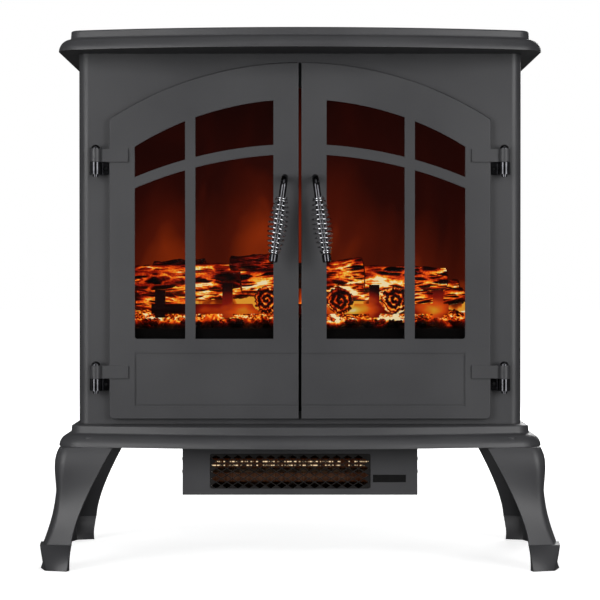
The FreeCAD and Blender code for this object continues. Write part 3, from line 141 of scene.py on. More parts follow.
finishes = {  # shade, second shade, roughness low and high, metal, patch scale, grain scale, bump mm, stretch
    "charcoal_coat": ((0.031, 0.031, 0.034), (0.042, 0.042, 0.045), 0.42, 0.52, 0, 9, 1400, 0.05, (1, 1, 1)),
    "black_sheet": ((0.004, 0.004, 0.004), (0.008, 0.008, 0.008), 0.55, 0.7, 0, 12, 1200, 0.04, (1, 1, 1)),
    "bolt_steel": ((0.42, 0.42, 0.43), (0.56, 0.56, 0.57), 0.28, 0.42, 1, 160, 1600, 0.02, (1, 1, 4)),
    "black_screw": ((0.014, 0.014, 0.015), (0.03, 0.03, 0.032), 0.3, 0.45, 0.6, 220, 1800, 0.02, (1, 1, 1)),
    "dark_chrome": ((0.035, 0.035, 0.038), (0.06, 0.06, 0.065), 0.1, 0.16, 1, 60, 1400, 0.006, (1, 1, 3)),
    "bright_chrome": ((0.42, 0.42, 0.44), (0.55, 0.55, 0.57), 0.05, 0.09, 1, 80, 1400, 0.004, (1, 1, 1)),
    "panel_plastic": ((0.008, 0.008, 0.009), (0.014, 0.014, 0.016), 0.18, 0.3, 0, 40, 900, 0.01, (1, 1, 1)),
    "button_plastic": ((0.05, 0.05, 0.052), (0.075, 0.075, 0.078), 0.45, 0.6, 0, 120, 1500, 0.03, (1, 1, 1)),
    "motor_steel": ((0.1, 0.1, 0.11), (0.16, 0.16, 0.17), 0.35, 0.5, 0.7, 50, 900, 0.03, (1, 6, 1)),
    "spindle_foil": ((0.75, 0.75, 0.76), (0.92, 0.92, 0.93), 0.1, 0.25, 1, 90, 320, 0.12, (1, 1, 1)),
    "wheel_aluminium": ((0.5, 0.5, 0.51), (0.68, 0.68, 0.69), 0.3, 0.45, 1, 70, 700, 0.03, (1, 5, 5)),
    "mesh_black": ((0.006, 0.005, 0.005), (0.012, 0.01, 0.009), 0.4, 0.55, 0, 120, 1500, 0.03, (1, 1, 1)),
    "ceramic": ((0.62, 0.58, 0.5), (0.8, 0.77, 0.7), 0.6, 0.8, 0, 60, 900, 0.06, (1, 1, 1)),
    "reflector_foil": ((0.09, 0.06, 0.04), (0.16, 0.1, 0.06), 0.2, 0.32, 1, 30, 500, 0.03, (4, 1, 1)),
    "cutout_plastic": ((0.035, 0.03, 0.028), (0.06, 0.052, 0.048), 0.4, 0.55, 0, 200, 1400, 0.04, (1, 1, 1)),
    "magnet_plastic": ((0.02, 0.02, 0.02), (0.035, 0.035, 0.036), 0.4, 0.5, 0, 160, 1200, 0.03, (1, 1, 1)),
    "gland_rubber": ((0.012, 0.012, 0.012), (0.022, 0.022, 0.022), 0.65, 0.8, 0, 200, 1400, 0.05, (1, 1, 1)),
    "label_black": ((0.003, 0.003, 0.003), (0.006, 0.006, 0.006), 0.4, 0.5, 0, 300, 1600, 0.01, (1, 1, 1)),
}


dull = {"black_sheet": 0.2, "mesh_black": 0.2, "label_black": 0.12}


def plainFinish(name):
    shade, second, roughLow, roughHigh, metal, patch, grain, depth, stretch = finishes[name]
    finish, tree, shader, place = startFinish(name)
    shader.inputs["Metallic"].default_value = metal
    if name in dull:
        shader.inputs["Specular IOR Level"].default_value = dull[name]
    at = stretched(tree, place, stretch)
    patches = cloud(tree, at, patch, 4)
    speckle = cloud(tree, at, grain, 2)
    mixed = sums(tree, "ADD", patches, sums(tree, "MULTIPLY", speckle, 0.5))
    tree.links.new(ramp(tree, mixed, [(0.55, shade), (0.95, second)]), shader.inputs["Base Color"])
    tree.links.new(spread(tree, patches, roughLow, roughHigh), shader.inputs["Roughness"])
    bump(tree, shader, speckle, 0.6, depth / 1000)
    return finish


# zinc-plated sheet with its spangle

zincPlate = {"spangle": 140, "shades": ((0.34, 0.35, 0.37), (0.6, 0.61, 0.63)), "scratch": 500}


def zincFinish():
    finish, tree, shader, place = startFinish("zinc_sheet")
    shader.inputs["Metallic"].default_value = 1
    grains = cells(tree, place, zincPlate["spangle"])
    tone = axis(tree, grains.outputs["Color"], "X")
    dark, light = zincPlate["shades"]
    tree.links.new(ramp(tree, tone, [(0, dark), (1, light)]), shader.inputs["Base Color"])
    tree.links.new(spread(tree, tone, 0.3, 0.5, 0, 1), shader.inputs["Roughness"])
    bump(tree, shader, cloud(tree, place, zincPlate["scratch"]), 0.3, 0.00003)
    return finish


# circuit board: green mask, copper runs and pads

boardTraces = {"mask": ((0.006, 0.07, 0.025), (0.012, 0.13, 0.045)), "copper": (0.5, 0.36, 0.14), "runs": 260}


def boardFinish():
    finish, tree, shader, place = startFinish("circuit_board")
    brick = tree.nodes.new("ShaderNodeTexBrick")
    brick.inputs["Scale"].default_value = boardTraces["runs"] / 10
    brick.inputs["Mortar Size"].default_value = 0.03
    tree.links.new(stretched(tree, place, (3, 3, 3), (math.radians(90), 0, 0)), brick.inputs["Vector"])
    pads = spread(tree, cells(tree, place, boardTraces["runs"]).outputs["Distance"], 1, 0, 0.12, 0.2)
    marks = sums(tree, "MAXIMUM", sums(tree, "MULTIPLY", brick.outputs["Fac"], 0.5), pads)
    green = ramp(tree, cloud(tree, place, 80), [(0.3, boardTraces["mask"][0]), (0.7, boardTraces["mask"][1])])
    mix = tree.nodes.new("ShaderNodeMix")
    mix.data_type = "RGBA"
    mix.inputs["B"].default_value = (*boardTraces["copper"], 1)
    tree.links.new(marks, mix.inputs["Factor"])
    tree.links.new(green, mix.inputs["A"])
    tree.links.new(mix.outputs["Result"], shader.inputs["Base Color"])
    tree.links.new(spread(tree, marks, 0.25, 0.4, 0, 1), shader.inputs["Roughness"])
    bump(tree, shader, marks, 0.4, 0.0001)
    return finish


# door glass: clear, with a faint sheen and dust

glassPane = {"tint": (0.6, 0.58, 0.58), "second": (0.66, 0.64, 0.64), "rough": (0.02, 0.05), "edge": 1.25}


def glassFinish():
    finish, tree, shader, place = startFinish("door_glass")
    clear = tree.nodes.new("ShaderNodeBsdfTransparent")
    film = cloud(tree, place, 14, 4)
    tints = ramp(tree, film, [(0.3, glassPane["tint"]), (0.7, glassPane["second"])])
    tree.links.new(tints, clear.inputs["Color"])
    gloss = tree.nodes.new("ShaderNodeBsdfGlossy")
    tree.links.new(spread(tree, film, *glassPane["rough"]), gloss.inputs["Roughness"])
    fresnel = tree.nodes.new("ShaderNodeFresnel")
    fresnel.inputs["IOR"].default_value = glassPane["edge"]
    mix = tree.nodes.new("ShaderNodeMixShader")
    tree.links.new(fresnel.outputs["Fac"], mix.inputs["Fac"])
    tree.links.new(clear.outputs["BSDF"], mix.inputs[1])
    tree.links.new(gloss.outputs["BSDF"], mix.inputs[2])
    tree.nodes.remove(shader)
    tree.links.new(mix.outputs["Shader"], tree.nodes["Material Output"].inputs["Surface"])
    return finish


# glow colours shared by the logs, embers, grate and screen; on the grate they are painted firelight

glowColours = [(0.0, (0, 0, 0)), (0.2, (0.028, 0.001, 0.0)), (0.4, (0.32, 0.009, 0.001)), (0.6, (0.95, 0.1, 0.005)),
        (0.77, (1.0, 0.4, 0.02)), (0.92, (1.0, 0.72, 0.1)), (1.0, (1.0, 0.88, 0.5))]


def glowing(tree, shader, value, strength=2.1):
    tree.links.new(ramp(tree, value, glowColours), shader.inputs["Emission Color"])
    shader.inputs["Emission Strength"].default_value = strength


# flame screen: lit from behind, flames rise in soft tongues and fade to black above

flames = {
    "low": 0.263, "high": 0.56,
    "tongues": [  # across, height, size, heat
        (-0.165, 0.372, 0.05, 0.3), (-0.04, 0.385, 0.055, 0.28), (0.045, 0.39, 0.055, 0.28),
        (0.135, 0.35, 0.04, 0.2),
    ],
    "tint": [(0.0, (0.004, 0.0002, 0.0)), (0.3, (0.026, 0.0018, 0.0003)), (0.55, (0.09, 0.007, 0.0009)),
             (0.75, (0.3, 0.03, 0.002)), (0.88, (0.8, 0.16, 0.008)), (1.0, (1.0, 0.45, 0.04))],
    "fierce": (0.9, 0, 0.292, 0.334),  # heat at the foot, heat above, and the two heights
    "foot": 0.67, "top": 0.09, "sway": 0.55, "slender": 1.9,
}


def flameFinish():
    finish, tree, shader, place = startFinish("flame_screen")
    shader.inputs["Base Color"].default_value = (0.01, 0.002, 0.001, 1)
    shader.inputs["Roughness"].default_value = 0.6
    rise = spread(tree, axis(tree, place, "Z"), flames["foot"], flames["top"], flames["low"], flames["high"])
    waves = cloud(tree, stretched(tree, place, (13, 1, 4.5)), 1.0, 3, 0.45, 0.9)
    swaying = sums(tree, "MULTIPLY", sums(tree, "SUBTRACT", waves, 0.5), flames["sway"])
    level = sums(tree, "ADD", rise, swaying)
    for x, z, size, strength in flames["tongues"]:
        offset = tree.nodes.new("ShaderNodeMapping")
        tall = size * flames["slender"]
        offset.inputs["Location"].default_value = (-x / size, 0, -z / tall)
        offset.inputs["Scale"].default_value = (1 / size, 0, 1 / tall)
        tree.links.new(place, offset.inputs["Vector"])
        ball = tree.nodes.new("ShaderNodeTexGradient")
        ball.gradient_type = "SPHERICAL"
        tree.links.new(offset.outputs["Vector"], ball.inputs["Vector"])
        soft = sums(tree, "MULTIPLY", ball.outputs["Fac"], strength)
        level = sums(tree, "ADD", level, sums(tree, "MULTIPLY", soft, sums(tree, "ADD", waves, 0.3)))
    band = spread(tree, axis(tree, place, "Z"), *flames["fierce"])
    patches = cloud(tree, stretched(tree, place, (38, 1, 30)), 1.0, 2, 0.5, 0.6)
    licks = spread(tree, patches, 0, 1, 0.42, 0.62)
    level = sums(tree, "ADD", level, sums(tree, "MULTIPLY", band, licks))
    tree.links.new(ramp(tree, level, flames["tint"]), shader.inputs["Emission Color"])
    shader.inputs["Emission Strength"].default_value = 1.7
    shader.inputs["Specular IOR Level"].default_value = 0.1
    bump(tree, shader, cloud(tree, place, 400), 0.3, 0.0001)
    return finish


# logs and embers: char over a glow that the mesh carries as its "glow" attribute

charSkin = {"black": (0.003, 0.002, 0.002), "brown": (0.022, 0.007, 0.004), "flake": 420, "crack": 130}


def charFinish(name, flicker, gain):
    finish, tree, shader, place = startFinish(name)
    carried = tree.nodes.new("ShaderNodeAttribute")
    carried.attribute_name = "glow"
    speckle = cloud(tree, place, charSkin["flake"], 4, 0.65)
    crust = cells(tree, place, charSkin["crack"], "DISTANCE_TO_EDGE").outputs["Distance"]
    seams = spread(tree, crust, 0.16, 0.0, 0.0, 0.09)
    warm = sums(tree, "MULTIPLY", carried.outputs["Fac"], sums(tree, "ADD", seams, gain))
    rough = sums(tree, "MULTIPLY", sums(tree, "SUBTRACT", speckle, 0.5), flicker)
    level = sums(tree, "ADD", warm, sums(tree, "MULTIPLY", rough, carried.outputs["Fac"]))
    glowing(tree, shader, level)
    tree.links.new(ramp(tree, speckle, [(0.4, charSkin["black"]), (0.7, charSkin["brown"])]),
                   shader.inputs["Base Color"])
    tree.links.new(spread(tree, speckle, 0.3, 0.7), shader.inputs["Roughness"])
    shader.inputs["Specular IOR Level"].default_value = 0.32
    bump(tree, shader, sums(tree, "ADD", speckle, crust), 0.9, 0.0011)
    return finish


# grate: dark iron with painted firelight along the bar, glowing in spots under the logs

gratePaintedGlow = {"spots": [(-0.068, 0.06, 0.62), (0.056, 0.06, 1.0), (0.158, 0.05, 0.72), (-0.115, 0.03, 0.25)],
             "barZ": 0.296, "reach": 0.03}


def grateFinish():
    finish, tree, shader, place = startFinish("grate_black")
    speckle = cloud(tree, place, 260, 4)
    tree.links.new(ramp(tree, speckle, [(0.3, (0.006, 0.004, 0.004)), (0.7, (0.016, 0.01, 0.009))]),
                   shader.inputs["Base Color"])
    tree.links.new(spread(tree, speckle, 0.45, 0.65), shader.inputs["Roughness"])
    # painted firelight: a dim glow over the whole bar and brighter spots along it
    level = 0.06
    for x, size, strength in gratePaintedGlow["spots"]:
        offset = tree.nodes.new("ShaderNodeMapping")
        tall = gratePaintedGlow["reach"]
        offset.inputs["Location"].default_value = (-x / size, 0, -gratePaintedGlow["barZ"] / tall)
        offset.inputs["Scale"].default_value = (1 / size, 0, 1 / tall)
        tree.links.new(place, offset.inputs["Vector"])
        ball = tree.nodes.new("ShaderNodeTexGradient")
        ball.gradient_type = "SPHERICAL"
        tree.links.new(offset.outputs["Vector"], ball.inputs["Vector"])
        level = sums(tree, "ADD", level, sums(tree, "MULTIPLY", ball.outputs["Fac"], strength))
    patchy = sums(tree, "ADD", cloud(tree, stretched(tree, place, (1, 1, 2)), 30, 2), 0.5)
    shader.inputs["Specular IOR Level"].default_value = 0.2
    glowing(tree, shader, sums(tree, "MULTIPLY", level, patchy), 1.4)
    bump(tree, shader, speckle, 0.4, 0.0003)
    return finish


# quartz tube: two rows of painted highlights as bright specks along the upper tube, dull amber glow elsewhere

quartzSpecksAndGlow = {
    "speckHighlight": (1.0, 0.75, 0.45), "below": (0.012, 0.0025, 0.0006), "rows": [0.1138, 0.1182],
    "rowCore": 0.0003, "rowEdge": 0.0009, "strength": 1.0,
}


def quartzFinish():
    finish, tree, shader, place = startFinish("quartz")
    coils = cloud(tree, stretched(tree, place, (520, 40, 40)), 1.0, 1)
    height = axis(tree, place, "Z")
    # painted highlights: emission specks along two rows of the tube
    speckHighlight = 0.0
    for row in quartzSpecksAndGlow["rows"]:
        away = sums(tree, "ABSOLUTE", sums(tree, "SUBTRACT", height, row), 0.0)
        speckHighlight = sums(tree, "ADD", speckHighlight, spread(tree, away, 1, 0, quartzSpecksAndGlow["rowCore"],
                                                    quartzSpecksAndGlow["rowEdge"]))
    lively = sums(tree, "MULTIPLY", speckHighlight, spread(tree, coils, 0, 0.6, 0.46, 0.62))
    tree.links.new(ramp(tree, lively, [(0.05, quartzSpecksAndGlow["below"]), (0.5, quartzSpecksAndGlow["speckHighlight"])]),
                   shader.inputs["Emission Color"])
    tree.links.new(ramp(tree, coils, [(0.3, (0.04, 0.02, 0.01)), (0.7, (0.09, 0.05, 0.03))]),
                   shader.inputs["Base Color"])
    tree.links.new(spread(tree, coils, 0.1, 0.25), shader.inputs["Roughness"])
    shader.inputs["Emission Strength"].default_value = quartzSpecksAndGlow["strength"]
    bump(tree, shader, coils, 0.3, 0.0004)
    return finish


def buildFinishes():
    made = {name: plainFinish(name) for name in finishes}
    made["zinc_sheet"] = zincFinish()
    made["circuit_board"] = boardFinish()
    made["door_glass"] = glassFinish()
    made["flame_screen"] = flameFinish()
    made["log_resin"] = charFinish("log_resin", 1.0, 1.0)
    made["ember_resin"] = charFinish("ember_resin", 1.1, 0.95)
    made["grate_black"] = grateFinish()
    made["quartz"] = quartzFinish()
    return made


made = buildFinishes()
for part in frame["record"]["subparts"]:
    node = nodes[part["node"]]
    node.data.materials.clear()
    node.data.materials.append(made[part["material_slot"]])
print("finishes on", len(nodes), "nodes")


# making and finishing a piece

def newestPiece(name):
    piece = bpy.context.object
    piece.name = name
    piece.data.name = name
    return piece


def settle(piece, body, slot, angle=50):
    bpy.ops.object.select_all(action="DESELECT")
    piece.select_set(True)
    bpy.context.view_layer.objects.active = piece
    bpy.ops.object.transform_apply(location=True, rotation=True, scale=True)
    bpy.ops.object.shade_smooth_by_angle(angle=math.radians(angle))
    piece.data.materials.clear()
    piece.data.materials.append(made[slot])
    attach(piece, body)
    piece.select_set(False)


def closeUp(piece, gap=0.00001):
    bpy.ops.object.mode_set(mode="EDIT")
    bpy.ops.mesh.select_all(action="SELECT")
    bpy.ops.mesh.remove_doubles(threshold=gap)
    bpy.ops.mesh.normals_make_consistent(inside=False)
    bpy.ops.object.mode_set(mode="OBJECT")


def smoothStep(low, high, value):
    share = min(1.0, max(0.0, (value - low) / (high - low)))
    return share * share * (3 - 2 * share)


# painted shade behind the meeting stiles: no glow within the dark width of the middle, full glow beyond the
# clear width
slotShadeBand = {"dark": 0.003, "clear": 0.014}


def paintedSlotShade(x):
    # painted shade: the fire's glow is dimmed behind the slot between the doors, where the meeting stiles shade
    # it
    return smoothStep(slotShadeBand["dark"], slotShadeBand["clear"], abs(x))


# handle springs: wire wound round the rod, close at both ends and full in the middle

handleSpring = {
    "turns": 14, "stepsPerTurn": 26, "wire": 0.00095, "wireSides": 10,
    "top": (0.0175, -0.1195, 0.450), "lean": 8, "start": 0.0235, "end": 0.0885,
    "endRadius": 0.0055, "middleRadius": 0.0109, "closeTurns": 1.6,
}


def coilShare(turn):
    # close-wound turns at both ends, open ones between
    spring = handleSpring
    close = spring["closeTurns"]
    wireShare = 2.15 * spring["wire"] / (spring["end"] - spring["start"])
    closed = close * wireShare
    openTurns = spring["turns"] - 2 * close
    if turn < close:
        return turn * wireShare
    if turn > spring["turns"] - close:
        return 1 - (spring["turns"] - turn) * wireShare
    return closed + (turn - close) / openTurns * (1 - 2 * closed)


def windSpring(side, body, node):
    spring = handleSpring
    sides = spring["wireSides"]
    bpy.ops.mesh.primitive_circle_add(vertices=sides, radius=spring["wire"], rotation=(math.radians(90), 0, 0),
                                      location=(spring["endRadius"], 0, 0))
    coil = newestPiece(node + "_coil")
    bpy.ops.object.transform_apply(location=True, rotation=True, scale=True)
    bpy.context.scene.cursor.location = (0, 0, 0)
    winding = coil.modifiers.new("winding", "SCREW")
    winding.axis = "Z"
    winding.iterations = 1
    winding.angle = math.radians(360 * spring["turns"])
    winding.steps = spring["turns"] * spring["stepsPerTurn"]
    winding.render_steps = winding.steps
    winding.screw_offset = 0
    winding.use_merge_vertices = False
    section = [vertex.co.copy() for vertex in coil.data.vertices]
    bpy.ops.object.modifier_apply(modifier="winding")
    length = spring["end"] - spring["start"]
    steps = spring["turns"] * spring["stepsPerTurn"]
    lean = Matrix.Rotation(math.radians(-spring["lean"]) * side, 4, "Y")
    top = Vector((spring["top"][0] * side, spring["top"][1], spring["top"][2]))
    place = Matrix.Translation(top) @ lean
    for index, vertex in enumerate(coil.data.vertices):
        step = index // sides
        turn = step / spring["stepsPerTurn"]
        share = coilShare(turn)
        swell = math.sin(math.pi * share) ** 0.85
        radius = spring["endRadius"] + (spring["middleRadius"] - spring["endRadius"]) * swell
        around = 2 * math.pi * turn
        off = section[index % sides]
        reach = radius + off.x - spring["endRadius"]
        along = spring["start"] + length * share
        vertex.co = place @ Vector((reach * math.cos(around), reach * math.sin(around), -along + off.z))
    assert len(coil.data.vertices) == sides * (steps + 1), len(coil.data.vertices)
    bpy.ops.object.mode_set(mode="EDIT")
    bpy.ops.mesh.select_mode(type="EDGE")
    bpy.ops.mesh.select_all(action="DESELECT")
    bpy.ops.mesh.select_non_manifold()
    bpy.ops.mesh.fill_holes(sides=0)
    bpy.ops.object.mode_set(mode="OBJECT")
    closeUp(coil)
    settle(coil, body, "bright_chrome", 60)
    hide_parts(node)


windSpring(1, "right_door", "door_right_handle_spring")
windSpring(-1, "left_door", "door_left_handle_spring")
print("handle springs wound")


# logs: each a grid wrapped round, with cracked bark and a wound end

logPile = {
    "around": 80, "perMetre": 620, "cap": 11, "bark": 0.0026, "spiral": 0.0016, "spiralTurns": 2.4,
    "logs": [  # start, end, radius at each, seed, heat
        ((-0.0396, -0.0445, 0.3085), (-0.036, 0.020, 0.309), 0.0160, 0.0155, 3, 0.72),
        ((0.0479, -0.0445, 0.3070), (0.043, 0.020, 0.309), 0.0165, 0.0155, 7, 0.62),
        ((0.1122, -0.0445, 0.3075), (0.101, 0.020, 0.309), 0.0165, 0.0155, 11, 0.8),
        ((-0.2000, -0.0204, 0.332), (-0.0700, -0.0114, 0.337), 0.0180, 0.0165, 15, 0.62),
        ((-0.0820, -0.0180, 0.3500), (-0.0280, -0.0240, 0.3520), 0.0125, 0.0115, 19, 0.6),
        ((-0.0700, -0.0250, 0.3290), (0.0750, -0.0182, 0.3430), 0.0150, 0.0165, 23, 0.8),
        ((0.0771, -0.0136, 0.3330), (0.1754, -0.0046, 0.3340), 0.0165, 0.0140, 27, 0.95),
        ((-0.1836, 0.0034, 0.3188), (-0.0204, 0.0124, 0.323), 0.0140, 0.0126, 31, 0.95),
        ((0.0102, 0.0068, 0.3174), (0.1918, 0.0158, 0.321), 0.0130, 0.0117, 35, 1.0),
        ((-0.1750, 0.0040, 0.3430), (-0.1150, -0.0052, 0.3480), 0.0115, 0.0105, 39, 0.5),
        ((0.1300, -0.0380, 0.3060), (0.1950, -0.0150, 0.3130), 0.0120, 0.0100, 43, 0.7),
        ((-0.1950, -0.0380, 0.3080), (-0.1300, -0.0300, 0.3020), 0.0125, 0.0110, 47, 0.55),
    ],
}


def barkAt(seed, around, along):
    # plates of bark between cracks, as height from 0 in a crack to 1, and how lively the heat is there
    turned = Vector((math.cos(around) * 1.9, math.sin(around) * 1.9, along * 38 + seed * 5.3))
    warp = noise.noise(turned * 1.7) * 0.35
    gaps = noise.voronoi(turned + Vector((warp, warp, warp)))[0]
    edge = smoothStep(0.02, 0.3, gaps[1] - gaps[0])
    split = abs(noise.noise(Vector((math.cos(around) * 3.4, math.sin(around) * 3.4, along * 14 + seed))))
    groove = smoothStep(0.0, 0.12, split)
    lively = noise.noise(Vector((math.cos(around) * 1.1, math.sin(around) * 1.1, along * 26 + seed * 1.7)))
    peeled = noise.noise(Vector((math.cos(around), math.sin(around), along * 22 - seed * 2.1)))
    bare = smoothStep(0.12, 0.34, peeled)
    return edge * groove, lively, bare


def shapeLog(start, end, startRadius, endRadius, seed, warmth):
    pile = logPile
    run = Vector(end) - Vector(start)
    length = run.length
    rings = int(length * pile["perMetre"]) + 2 * pile["cap"]
    bpy.ops.mesh.primitive_grid_add(x_subdivisions=rings, y_subdivisions=pile["around"], size=1)
    log = newestPiece(f"log_{seed}")
    glow = log.data.attributes.new("glow", "FLOAT", "POINT")
    place = Matrix.Translation(start) @ run.to_track_quat("Z", "Y").to_matrix().to_4x4()
    for vertex in log.data.vertices:
        ring = round((vertex.co.x + 0.5) * rings)
        around = 2 * math.pi * (vertex.co.y + 0.5)
        if vertex.co.y > 0.4999:
            around = 0.0
        inStart = ring < pile["cap"]
        inEnd = ring > rings - pile["cap"]
        share = min(1.0, max(0.0, (ring - pile["cap"]) / (rings - 2 * pile["cap"])))
        radius = startRadius + (endRadius - startRadius) * share
        height, lively, bare = barkAt(seed, around, length * share)
        lumpy = noise.noise(Vector((math.cos(around), math.sin(around), share * 3 + seed))) * 0.0018
        bark = pile["bark"] * (height * (1 - 0.7 * bare) - 1) + lumpy
        heatHere = warmth * (0.55 + 0.9 * lively)
        shine = (1 - height) * heatHere * 1.25 + bare * (0.5 + lively) * warmth * 0.9
        if inStart or inEnd:
            reach = ring / pile["cap"] if inStart else (rings - ring) / pile["cap"]
            rim = radius + bark
            handed = around if inStart else -around
            winding = 0.5 + 0.5 * math.cos(2 * math.pi * reach * pile["spiralTurns"] - handed)
            ripple = noise.noise(Vector((math.cos(around) * reach * 3, math.sin(around) * reach * 3, seed)))
            groove = smoothStep(0.62, 0.95, winding + ripple * 0.25)
            dome = 0.0022 * (1 - reach ** 4) - pile["spiral"] * groove
            side = -1 if inStart else 1
            at = Vector((rim * reach * math.cos(around), rim * reach * math.sin(around),
                         length * share + side * dome))
            inner = groove * (0.62 + 0.45 * ripple) * warmth
            shine = inner * smoothStep(1.02, 0.8, reach) + (0.16 + 0.3 * ripple) * warmth * 0.5
        else:
            reach = radius + bark
            at = Vector((reach * math.cos(around), reach * math.sin(around), length * share))
        vertex.co = place @ at
        low = smoothStep(0.372, 0.3, vertex.co.z)
        # painted shade behind the door slot dims the glow near the middle
        glow.data[vertex.index].value = max(0.0, shine * (0.62 + 0.6 * low)) * paintedSlotShade(vertex.co.x)
    closeUp(log, 0.00002)
    return log


def joined(pieces, name):
    bpy.ops.object.select_all(action="DESELECT")
    for piece in pieces:
        piece.select_set(True)
    bpy.context.view_layer.objects.active = pieces[0]
    bpy.ops.object.join()
    return newestPiece(name)


pile = joined([shapeLog(*log) for log in logPile["logs"]], "charred_logs")
settle(pile, "stove", "log_resin", 70)
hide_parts("log_set")
print("logs:", len(pile.data.polygons), "faces")


# ember bed: a heap of coals glowing between the lumps, with painted shade that keeps the front coals dark

emberHeap = {
    "across": 330, "deep": 66, "lump": 0.0062, "frontFoot": 0.2, "coals": 130, "coalSize": (0.0045, 0.0085),
}


def heapGlow(x, y, z):
    spot = Vector((x, y * 1.2, z)) * 105
    gaps = noise.voronoi(spot)[0]
    seam = 1 - smoothStep(0.03, 0.38, gaps[1] - gaps[0])
    patch = noise.noise(Vector((x * 24, y * 20, z * 26 + 4)))
    # painted shade: no glow below a ragged line at the front, and the glow dimmed behind the door slot
    above = smoothStep(0.2765, 0.287, z + noise.noise(Vector((x * 60, 3.0, 1.0))) * 0.006)
    return above * paintedSlotShade(x) * max(0.0, 0.42 * seam + 0.5 + 1.35 * patch)


def shapeHeap():
    low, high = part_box("ember_bed")
    heap = emberHeap
    bpy.ops.mesh.primitive_grid_add(x_subdivisions=heap["across"], y_subdivisions=heap["deep"], size=1)
    bed = newestPiece("ember_heap")
    glow = bed.data.attributes.new("glow", "FLOAT", "POINT")
    for vertex in bed.data.vertices:
        x = low.x + (vertex.co.x + 0.5) * (high.x - low.x)
        share = vertex.co.y + 0.5
        if share < heap["frontFoot"]:
            up = share / heap["frontFoot"]
            y = low.y + 0.004
            z = low.z + up * 0.0105
        else:
            back = (share - heap["frontFoot"]) / (1 - heap["frontFoot"])
            y = low.y + 0.004 + back * (high.y - low.y - 0.004)
            z = low.z + 0.0105 + 0.0165 * smoothStep(0, 0.3, back)
        spot = Vector((x, y, z)) * 95
        gaps = noise.voronoi(spot)[0]
        dome = smoothStep(0.0, 0.5, gaps[1] - gaps[0])
        z += heap["lump"] * (dome - 0.35) * smoothStep(0.02, 0.25, share)
        y += 0.003 * (0.5 - dome) * (1 - smoothStep(0.2, 0.4, share))
        vertex.co = (x, max(y, low.y + 0.0005), max(z, low.z))
        glow.data[vertex.index].value = heapGlow(x, y, z)
    solid = bed.modifiers.new("skin", "SOLIDIFY")
    solid.thickness = 0.0022
    solid.offset = -1
    bpy.ops.object.modifier_apply(modifier="skin")
    return bed


def shapeCoal(seed, low, high):
    random.seed(seed)
    x = random.uniform(low.x + 0.008, high.x - 0.008)
    depth = random.random()
    size = random.uniform(*emberHeap["coalSize"])
    y = low.y + size + 0.001 + depth * 0.03
    z = low.z + 0.0115 + 0.0165 * smoothStep(0, 0.027, y - low.y) + random.uniform(-0.002, 0.003)
    bpy.ops.mesh.primitive_ico_sphere_add(subdivisions=3, radius=size, location=(x, y, z),
                                          rotation=[random.uniform(0, 3) for turn in range(3)])
    coal = newestPiece(f"coal_{seed}")
    bpy.ops.object.transform_apply(location=True, rotation=True, scale=True)
    glow = coal.data.attributes.new("glow", "FLOAT", "POINT")
    centre = Vector((x, y, z))
    squash = Vector((random.uniform(0.8, 1.3), 1, random.uniform(0.6, 0.85)))
    for vertex in coal.data.vertices:
        out = vertex.co - centre
        spot = out.normalized() * 1.6 + Vector((seed, 0, 0))
        gaps = noise.voronoi(spot)[0]
        facet = 0.72 + 0.4 * smoothStep(0, 0.6, gaps[1] - gaps[0])
        vertex.co = centre + out * facet * squash
        seam = 1 - smoothStep(0.05, 0.3, gaps[1] - gaps[0])
        # painted shade: coals low at the front stay dark, and the glow is dimmed behind the door slot
        lit = smoothStep(0.279, 0.288, vertex.co.z + 0.004 * noise.noise(Vector((x * 50, 1, 2))))
        under = smoothStep(0.4, -0.7, out.z / size)
        warmth = (0.75 * seam + 0.5 * under) * random.uniform(0.85, 1.1)
        glow.data[vertex.index].value = lit * warmth * paintedSlotShade(x)
    return coal


bedLow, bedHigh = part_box("ember_bed")
bed = shapeHeap()
coals = [shapeCoal(200 + index, bedLow, bedHigh) for index in range(emberHeap["coals"])]
heap = joined([bed] + coals, "ember_heap")
settle(heap, "stove", "ember_resin", 60)
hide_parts("ember_bed")
print("embers:", len(heap.data.polygons), "faces")


# floor, light and camera

studio = {
    "floor": (0.7, 0.7, 0.7), "floorSecond": (0.74, 0.74, 0.74), "backdrop": (0.7, 1.1, 0.3, 1.2),
    "floorBounce": (0.12, 0.12, 0.12), "skyLight": 0.1, "floorSize": 40,
    "lamps": [  # name, place, aim, width, height, watts
        ("softLeft", (-1.5, -2.1, 0.8), (0, 0, 0.32), 1.2, 1.6, 39),
        ("softRight", (1.5, -2.1, 0.7), (0, 0, 0.32), 1.2, 1.6, 39),
        ("softTop", (0, -1.6, 2.3), (0, 0, 0.3), 1.6, 0.9, 6),
        ("sideLeft", (-1.7, 0.1, 0.5), (0, 0, 0.32), 0.5, 1.2, 1),
        ("sideRight", (1.7, 0.1, 0.5), (0, 0, 0.32), 0.5, 1.2, 0.5),
        ("rearFill", (0.8, 2.6, 1.3), (0, 0, 0.3), 1.4, 1.0, 28),
    ],
    "sun": 0.25,
}


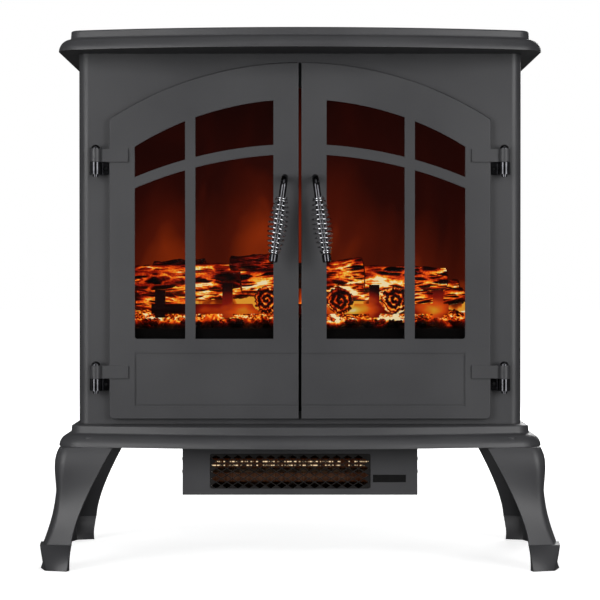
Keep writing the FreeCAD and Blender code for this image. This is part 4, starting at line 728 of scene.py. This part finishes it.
def lightStudio():
    scene = bpy.context.scene
    scene.view_settings.view_transform = "Standard"
    world = bpy.data.worlds.new("studio")
    scene.world = world
    world.use_nodes = True
    tree = world.node_tree
    seen = tree.nodes["Background"]
    seen.inputs["Color"].default_value = (1, 1, 1, 1)
    seen.inputs["Strength"].default_value = 1.0
    lighting = tree.nodes.new("ShaderNodeBackground")
    lighting.inputs["Color"].default_value = (0.97, 0.98, 1, 1)
    lighting.inputs["Strength"].default_value = studio["skyLight"]
    ray = tree.nodes.new("ShaderNodeLightPath")
    mix = tree.nodes.new("ShaderNodeMixShader")
    tree.links.new(ray.outputs["Is Camera Ray"], mix.inputs["Fac"])
    tree.links.new(lighting.outputs["Background"], mix.inputs[1])
    tree.links.new(seen.outputs["Background"], mix.inputs[2])
    tree.links.new(mix.outputs["Shader"], tree.nodes["World Output"].inputs["Surface"])
    for name, place, aim, width, height, watts in studio["lamps"]:
        lamp = bpy.data.lights.new(name, "AREA")
        lamp.shape = "RECTANGLE"
        lamp.size = width
        lamp.size_y = height
        lamp.energy = watts
        holder = bpy.data.objects.new(name, lamp)
        scene.collection.objects.link(holder)
        holder.location = place
        holder.rotation_euler = (Vector(aim) - Vector(place)).to_track_quat("-Z", "Y").to_euler()
    sun = bpy.data.lights.new("overhead", "SUN")
    sun.energy = studio["sun"]
    sun.angle = math.radians(60)
    holder = bpy.data.objects.new("overhead", sun)
    scene.collection.objects.link(holder)


def layFloor():
    bpy.ops.mesh.primitive_plane_add(size=studio["floorSize"], location=(0, 0, 0))
    floor = newestPiece("floor")
    finish, tree, shader, place = startFinish("paleFloor")
    tone = cloud(tree, place, 3, 2)
    tree.links.new(ramp(tree, tone, [(0.3, studio["floor"]), (0.7, studio["floorSecond"])]),
                   shader.inputs["Base Color"])
    shader.inputs["Roughness"].default_value = 0.8
    shader.inputs["Specular IOR Level"].default_value = 0.1
    # the backdrop brightens away from the stove, so no horizon shows
    away = tree.nodes.new("ShaderNodeVectorMath")
    away.operation = "LENGTH"
    tree.links.new(place, away.inputs[0])
    shader.inputs["Emission Color"].default_value = (1, 1, 1, 1)
    tree.links.new(spread(tree, away.outputs["Value"], *studio["backdrop"]), shader.inputs["Emission Strength"])
    dim = tree.nodes.new("ShaderNodeBsdfDiffuse")
    dim.inputs["Color"].default_value = (*studio["floorBounce"], 1)
    ray = tree.nodes.new("ShaderNodeLightPath")
    mix = tree.nodes.new("ShaderNodeMixShader")
    tree.links.new(ray.outputs["Is Camera Ray"], mix.inputs["Fac"])
    tree.links.new(dim.outputs["BSDF"], mix.inputs[1])
    tree.links.new(shader.outputs["BSDF"], mix.inputs[2])
    tree.links.new(mix.outputs["Shader"], tree.nodes["Material Output"].inputs["Surface"])
    floor.data.materials.append(finish)


view = {"place": (0, -2.4785, 0.3316), "tilt": -0.558, "lens": 123.2}


def setCamera():
    lens = bpy.data.cameras.new("camera")
    lens.lens = view["lens"]
    lens.sensor_width = 36
    lens.clip_end = 100
    camera = bpy.data.objects.new("camera", lens)
    bpy.context.scene.collection.objects.link(camera)
    camera.location = view["place"]
    camera.rotation_euler = (math.radians(90 + view["tilt"]), 0, 0)
    bpy.context.scene.camera = camera


lightStudio()
layFloor()
setCamera()
print("studio set")
